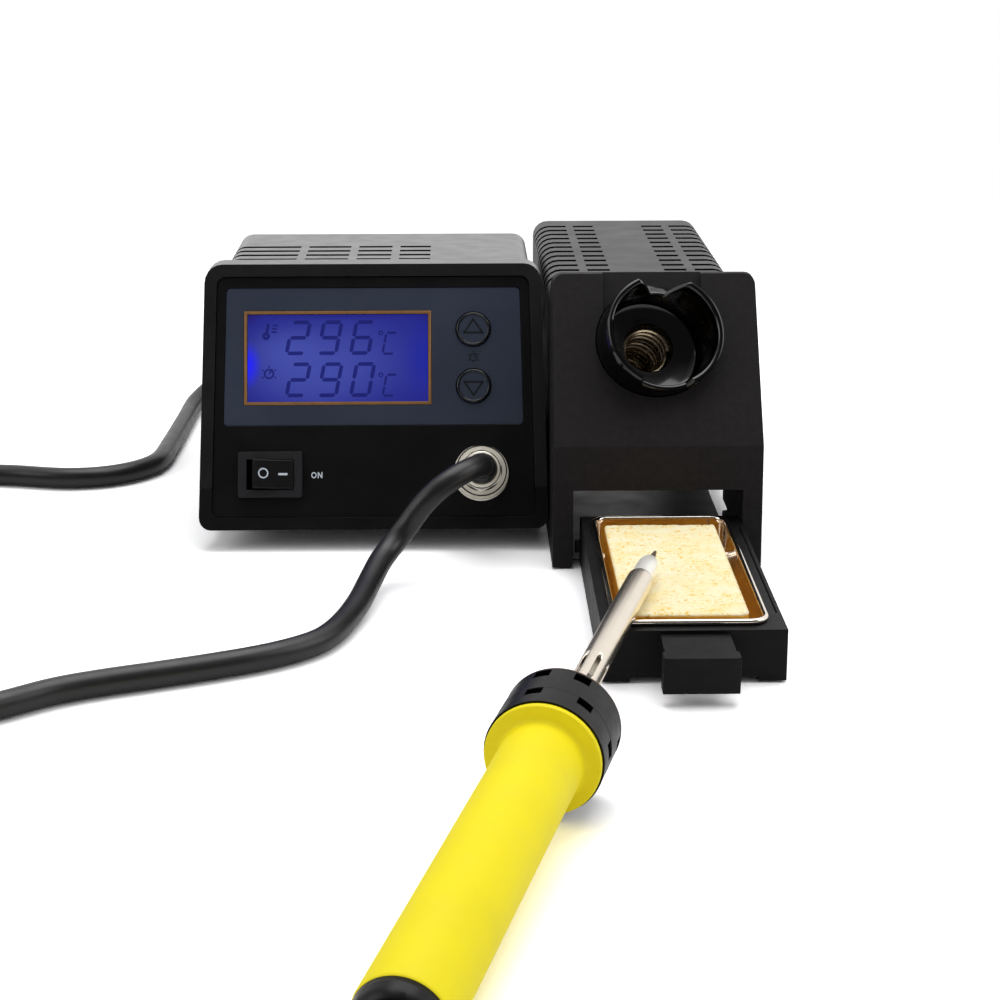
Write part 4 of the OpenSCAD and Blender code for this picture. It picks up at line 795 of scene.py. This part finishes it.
verts, faces = funnel_mesh()
cup = mesh("iron_cup", verts, faces, F["funnel"], "station", MOUTH, True, 42)
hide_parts("iron_funnel")
guide = Build().lathe([(8.5, -15.1), (8.9, -15.1), (8.9, -61.0), (8.5, -61.0)], 48, BORE)
guide.piece("spring_guide", F["funnel"], "station", MOUTH, "funnel_black")
SPRING_R, SPRING_WIRE, SPRING_PITCH, SPRING_TURNS = 7.5, 0.8, 3.3, 13
spring = [(*polar(SPRING_R, a, BORE), -15.9 - SPRING_PITCH * a / (2 * math.pi))
          for a in (2 * math.pi * i / 30 for i in range(30 * SPRING_TURNS + 1))]
coil = Build().tube(spring, SPRING_WIRE, 10).piece("guide_spring", F["spring"], "station", MOUTH, "spring_wire")
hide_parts("holder_coil")

# ---------------------------------------------------------------- sponge dish
DISH_X, DISH_FRONT, DISH_L, DISH_W, DISH_CORNER, RIM_R = 94.4, -120.2, 101.6, 45.2, 6.0, 0.9
DISH_FLOOR, DRAWER_TOP = 3.75, 15.85
DISH_Y = DISH_FRONT + DISH_L / 2


def rounded_loop(w, l, r, n=10):
    """Corner-rounded rectangle as (point, outward direction), counter-clockwise."""
    out = []
    for k, (sx, sy) in enumerate(((1, 1), (-1, 1), (-1, -1), (1, -1))):
        for i in range(n + 1):
            a = math.radians(90 * k + 90 * i / n)
            u = (math.cos(a), math.sin(a))
            out.append(((sx * (w / 2 - r) + r * u[0], sy * (l / 2 - r) + r * u[1]), u))
    return out


def swept_pan(w, l, r, profile, n=10):
    """A pan: the profile's (outward offset, z) points run round the loop, and both its ends are closed flat."""
    loop = rounded_loop(w, l, r, n)
    m = len(loop)
    verts = [(p[0] + o * u[0], p[1] + o * u[1], z) for o, z in profile for p, u in loop]
    faces = []
    for k in range(len(profile) - 1):
        for i in range(m):
            j = (i + 1) % m
            faces.append((k * m + i, k * m + j, (k + 1) * m + j, (k + 1) * m + i))
    faces.append(tuple(reversed(range(m))))
    faces.append(tuple(range((len(profile) - 1) * m, len(profile) * m)))
    return verts, faces


profile = [(-2.0, DISH_FLOOR), (-0.7, DISH_FLOOR + 0.25), (-0.15, DISH_FLOOR + 1.0), (0, DISH_FLOOR + 2.2),
           (0, DRAWER_TOP - 0.2)]
profile += [polar(RIM_R, math.radians(a), (0, DRAWER_TOP + RIM_R)) for a in range(-80, 221, 20)]
profile += [(-0.62, DRAWER_TOP - 0.3), (-0.64, DISH_FLOOR + 3.0), (-0.9, DISH_FLOOR + 1.5),
            (-1.6, DISH_FLOOR + 0.8), (-2.6, DISH_FLOOR + 0.6)]
verts, faces = swept_pan(DISH_W - 2 * RIM_R, DISH_L - 2 * RIM_R, DISH_CORNER - RIM_R, profile)
DISH = frame_at(S(DISH_X, DISH_Y, 0), Matrix.Identity(3))
pan = mesh("dish_pan", verts, faces, F["dish"], "sponge_drawer", DISH, True, 50)
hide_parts("sponge_dish")

# ---------------------------------------------------------------- iron
BARREL_R, BARREL_WALL, BARREL_FROM, BARREL_TO = 3.87, 0.5, 23.5, 124.5
SLOT_FROM, SLOT_TO, SLOT_HALF, SLOT_EVERY, SLOT_ROUND = 87.0, 99.0, 10.4, 60, 0.7


def turned(name, profile, finish, stands_for, slot, sides=72, sharp=40):
    """A piece of the iron that is turned about its axis, for the CAD node that it stands for, if any."""
    piece = Build().lathe(profile, sides).piece(name, finish, "iron", IRON, slot, True, sharp)
    if stands_for:
        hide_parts(stands_for)
    return piece


def barrel_mesh(sides=104, step=0.5):
    """The slotted tube, as one skin that is thickened inwards afterwards."""
    mouth = [(0, 0.5), (0.05, 0.3), (0.25, 0.1), (0.6, 0.02), (1.1, 0.0)]
    z = [BARREL_FROM + up for up, inwards in mouth]
    r = [BARREL_R - inwards for up, inwards in mouth]
    full = z[-1]
    z += [full + (SLOT_FROM - full) * k / 20 for k in range(1, 21)]
    z += [SLOT_FROM + step * k for k in range(1, round((SLOT_TO - SLOT_FROM) / step) + 1)]
    z += [SLOT_TO + (BARREL_TO - SLOT_TO) * k / 6 for k in range(1, 7)]
    r += [BARREL_R] * (len(z) - len(r))
    turn = [2 * math.pi * i / sides for i in range(sides)]
    verts = [(*polar(r[k], a), z[k]) for k in range(len(z)) for a in turn]
    faces = []
    for k in range(len(z) - 1):
        mid = (z[k] + z[k + 1]) / 2
        into = min(mid - SLOT_FROM, SLOT_TO - mid)
        half = SLOT_HALF * math.sqrt(max(0.0, 1 - max(0.0, 1 - into / SLOT_ROUND) ** 2)) if into > 0 else -1
        for i in range(sides):
            j = (i + 1) % sides
            angle = 360 * (i + 0.5) / sides
            off = abs(angle % SLOT_EVERY - SLOT_EVERY / 2)
            if off > half:
                faces.append((k * sides + i, k * sides + j, (k + 1) * sides + j, (k + 1) * sides + i))
    return verts, faces


POINT = [(0, 0), (0.3, 0.08), (0.46, 0.35), (1.3, 8.6), (1.7, 9.6), (1.7, 20), (0, 20)]
SLEEVE = [(1.75, 8.5), (2.15, 8.6), (2.5, 9.2), (2.95, 11.3), (3.12, 13.5), (3.2, 16), (3.2, 27.4), (1.75, 27.4)]
GRIP_R, GRIP_BORE, GRIP_FROM, GRIP_TO = 10.4, 8.65, 141.5, 256
GRIP = [(GRIP_BORE, GRIP_FROM), (14.1, GRIP_FROM), (14.42, 141.65), (14.5, 141.95), (14.5, 143.0), (14.38, 143.3),
        (14.1, 143.4), (12.2, 143.42), (11.2, 143.6), (10.65, 144.1), (10.42, 145.0), (GRIP_R, 147), (GRIP_R, 200),
        (GRIP_R, 255), (10.25, 255.7), (9.9, GRIP_TO), (GRIP_BORE, GRIP_TO)]
turned("iron_point", POINT, F["tip"], "tip", "tip_iron", 40)
turned("heat_sleeve", SLEEVE, F["sleeve"], "tip_sleeve", "barrel_steel")
verts, faces = barrel_mesh()
skin = mesh("barrel_tube", verts, faces, F["barrel"], "iron", IRON, True, 50)
thick = skin.modifiers.new("wall", "SOLIDIFY")
thick.thickness, thick.offset = BARREL_WALL * MM, -1.0
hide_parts("barrel")
turned("rubber_grip", GRIP, F["grip"], "grip", "grip_yellow", 96, 50)
# Dark rings round the collar, painted shade in its groove and a painted shadow where it meets the grip, and a bright
# brown front edge that is a painted reflection
COLLAR_IN, COLLAR_OUT = 14.6, 14.99
for name, z0, z1 in (("collar_lines", 133.1, 133.55), ("collar_shadow", 141.35, 141.5)):
    band = [(COLLAR_IN, z0), (COLLAR_OUT, z0), (COLLAR_OUT, z1), (COLLAR_IN, z1)]
    turned(name, band, F["ink"], None, "collar_black", 96)
edge = [(14.5, 121.95), (14.85, 121.9), (COLLAR_OUT, 122.05), (COLLAR_OUT, 122.35), (14.5, 122.35)]
turned("collar_painted_sheen", edge, F["brass"], None, "collar_black", 96)

# ---------------------------------------------------------------- painted shade: a dark sheet under the open holder, put where the floor there is only in shade
SHADE_SHEET_X, SHADE_SHEET_Y, SHADE_SHEET_Z = (67.0, 121.5), (-12.0, 150.0), (0.05, 0.25)
(x0, x1), (y0, y1) = SHADE_SHEET_X, SHADE_SHEET_Y
shade_sheet = Build().prism([(x0, y0), (x1, y0), (x1, y1), (x0, y1)], *SHADE_SHEET_Z)
shade_sheet.piece("holder_shade_sheet", F["case"], "station", STATION, "holder_black", smooth=False)

# ---------------------------------------------------------------- sponge
SPONGE_W, SPONGE_L, SPONGE_FROM, SPONGE_TOP, SPONGE_FOOT = 35.8, 85.5, -115.9, 18.0, 4.4
SPONGE = frame_at(S(DISH_X - 0.8, SPONGE_FROM + SPONGE_L / 2, 0), Matrix.Identity(3))


def pores(x, y, z=0.0):
    """Depth of the cellulose's holes at a place, from a few sizes of noise."""
    fine = noise.noise(Vector((x * 0.9, y * 1.25, z * 0.9)))
    mid = noise.noise(Vector((x * 0.38 + 7, y * 0.6, z * 0.4)))
    deep = max(0.0, noise.noise(Vector((x * 0.55, y * 1.1 + 40, z * 0.5))) - 0.33)
    return 0.12 * fine + 0.1 * mid + 2.6 * deep


def sponge_mesh(step=0.6, corner=2.6, edge=0.5):
    """A cut block with softened corners and edges, pitted all over."""
    nx, ny = round(SPONGE_W / step), round(SPONGE_L / step)
    half = (SPONGE_W / 2, SPONGE_L / 2)
    verts, faces = [], []
    for j in range(ny + 1):
        for i in range(nx + 1):
            q = [-half[0] + SPONGE_W * i / nx, -half[1] + SPONGE_L * j / ny]
            past = [abs(q[k]) - (half[k] - corner) for k in (0, 1)]
            if min(past) > 0:
                pull = max(past) / math.hypot(*past)
                q = [math.copysign(half[k] - corner + past[k] * pull, q[k]) for k in (0, 1)]
            rim_off = min(half[0] - abs(q[0]), half[1] - abs(q[1]))
            drop = edge * (1 - min(1.0, rim_off / edge)) ** 2
            verts.append((q[0], q[1], SPONGE_TOP - drop - pores(q[0], q[1])))
    row = nx + 1
    for j in range(ny):
        faces += [(j * row + i, j * row + i + 1, (j + 1) * row + i + 1, (j + 1) * row + i) for i in range(nx)]
    border = [i for i in range(nx)] + [j * row + nx for j in range(ny)]
    border += [ny * row + i for i in range(nx, 0, -1)] + [j * row for j in range(ny, 0, -1)]
    m, above = len(border), border
    levels = 16
    for k in range(1, levels + 1):
        z = SPONGE_TOP - edge - (SPONGE_TOP - edge - SPONGE_FOOT) * k / levels
        first = len(verts)
        for n, b in enumerate(border):
            x, y = verts[b][:2]
            flank = abs(x / half[0]) > abs(y / half[1])
            away = Vector((math.copysign(1, x), 0)) if flank else Vector((0, math.copysign(1, y)))
            d = 0.05 if k == levels else 0.05 + pores(x + z * 0.7, y + z * 0.9, z)
            verts.append((x - away.x * d, y - away.y * d, z))
        below = list(range(first, first + m))
        faces += [(above[(i + 1) % m], above[i], below[i], below[(i + 1) % m]) for i in range(m)]
        above = below
    faces.append(tuple(above))
    return verts, faces


verts, faces = sponge_mesh()
F["sponge"] = Finish("sponge_yellow", (255, 226, 120), 0.9, spec=0.15)
at = F["sponge"].stretched((1, 1.4, 1))
F["sponge"].mottle(900, 0.0, 5, at=at)
pits = F["sponge"].span(F["sponge"].noise(700, 4, 0.6, at=at), 0.0, 1.0, 0.56, 0.66)
blotch = F["sponge"].span(F["sponge"].noise(150, 3, at=at), 0.0, 0.5, 0.42, 0.66)
tone = F["sponge"].mix(blotch, lin((252, 242, 205)), lin((250, 228, 150)))
tone = F["sponge"].mix(pits, tone, lin((246, 200, 70)))
height = F["sponge"].node("ShaderNodeSeparateXYZ")
F["sponge"].link(F["sponge"].at, height.inputs[0])
# painted shade: the sides, below the top, get a deeper orange than the pale top, as less light falls on them
cut = F["sponge"].span(height.outputs["Z"], 1.0, 0.0, 0.0171, 0.0176)
tone = F["sponge"].mix(cut, tone, F["sponge"].mix(blotch, lin((238, 176, 62)), lin((222, 146, 34))))
F["sponge"].link(tone, F["sponge"].b.inputs["Base Color"])
F["sponge"].grain(1100, 0.00035, 4, at=at)
F["sponge"].b.inputs["Subsurface Weight"].default_value = 0.0
block = mesh("cleaning_sponge", verts, faces, F["sponge"], "sponge_drawer", SPONGE, True)
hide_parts("sponge")

# ---------------------------------------------------------------- floor, backdrop, light
# The floor's colour for the camera, and for light
FLOOR_SEEN, FLOOR_LIT = (1.55, 1.55, 1.5655, 1), (0.86, 0.86, 0.87, 1)
WHITE_FROM, WHITE_TO = 0.45, 0.9
f = Finish("floor_white", (255, 255, 255), 0.8, spec=0.1)
camera_sees = f.node("ShaderNodeLightPath").outputs["Is Camera Ray"]
f.link(f.mix(camera_sees, FLOOR_LIT, FLOOR_SEEN), f.b.inputs["Base Color"])
glow = f.node("ShaderNodeEmission", Color=(1, 1, 1, 1), Strength=1.0)
away = f.node("ShaderNodeVectorMath", operation="LENGTH")
f.link(f.at, away.inputs[0])
both = f.node("ShaderNodeMixShader")
f.link(f.times(f.span(away.outputs["Value"], 0, 1, WHITE_FROM, WHITE_TO), camera_sees), both.inputs[0])
f.link(f.b.outputs[0], both.inputs[1])
f.link(glow.outputs[0], both.inputs[2])
f.link(both.outputs[0], f.t.nodes["Material Output"].inputs["Surface"])
me = bpy.data.meshes.new("floor")
HALF, DOWN = 6, -0.0002
corners = [(-HALF, -HALF, DOWN), (HALF, -HALF, DOWN), (HALF, HALF, DOWN), (-HALF, HALF, DOWN)]
me.from_pydata(corners, [], [(0, 1, 2, 3)])
floor = bpy.data.objects.new("floor", me)
scene.collection.objects.link(floor)
me.materials.append(f.m)

# What gloss reflects gets darker toward the viewer's side, down to DARK_ROOM; AMBIENT is the light from all round.
DARK_ROOM, AMBIENT = 0.08, 0.42
world = bpy.data.worlds.new("studio")
scene.world = world
world.use_nodes = True
t = world.node_tree
back = t.nodes["Background"]
back.inputs["Color"].default_value = (1, 1, 1, 1)
rays = t.nodes.new("ShaderNodeLightPath")
way = t.nodes.new("ShaderNodeTexCoord")
part = t.nodes.new("ShaderNodeSeparateXYZ")
t.links.new(way.outputs["Generated"], part.inputs[0])
room = t.nodes.new("ShaderNodeMapRange")
room.inputs[1].default_value, room.inputs[2].default_value = -0.55, 0.05
room.inputs[3].default_value, room.inputs[4].default_value = DARK_ROOM, 1.0
t.links.new(part.outputs["Y"], room.inputs[0])


def pick(kind, other, seen):
    """The value seen where the ray is of this kind, else the other one."""
    m = t.nodes.new("ShaderNodeMix")
    t.links.new(rays.outputs[kind], m.inputs[0])
    for value, socket in ((other, m.inputs[2]), (seen, m.inputs[3])):
        if isinstance(value, float):
            socket.default_value = value
        else:
            t.links.new(value, socket)
    return m.outputs[0]


level = pick("Is Glossy Ray", AMBIENT, room.outputs[0])
level = pick("Is Transmission Ray", level, 1.0)
level = pick("Is Camera Ray", level, 1.0)
t.links.new(level, back.inputs["Strength"])


def lamp(name, size, power, at, to, color=(1, 1, 1)):
    data = bpy.data.lights.new(name, "AREA")
    data.shape = "RECTANGLE"
    data.size, data.size_y = size
    data.energy = power
    data.color = color
    obj = bpy.data.objects.new(name, data)
    scene.collection.objects.link(obj)
    obj.location = at
    obj.rotation_euler = (Vector(to) - Vector(at)).to_track_quat("-Z", "Y").to_euler()
    return obj


lamp("top", (1.2, 1.0), 11, (0.1, 0.25, 1.25), (0.02, 0.1, 0))
lamp("left", (0.8, 0.8), 4, (-1.2, -0.4, 0.8), (0, 0, 0.05))
lamp("right", (0.8, 0.8), 4, (1.2, -0.2, 0.8), (0, 0, 0.05))
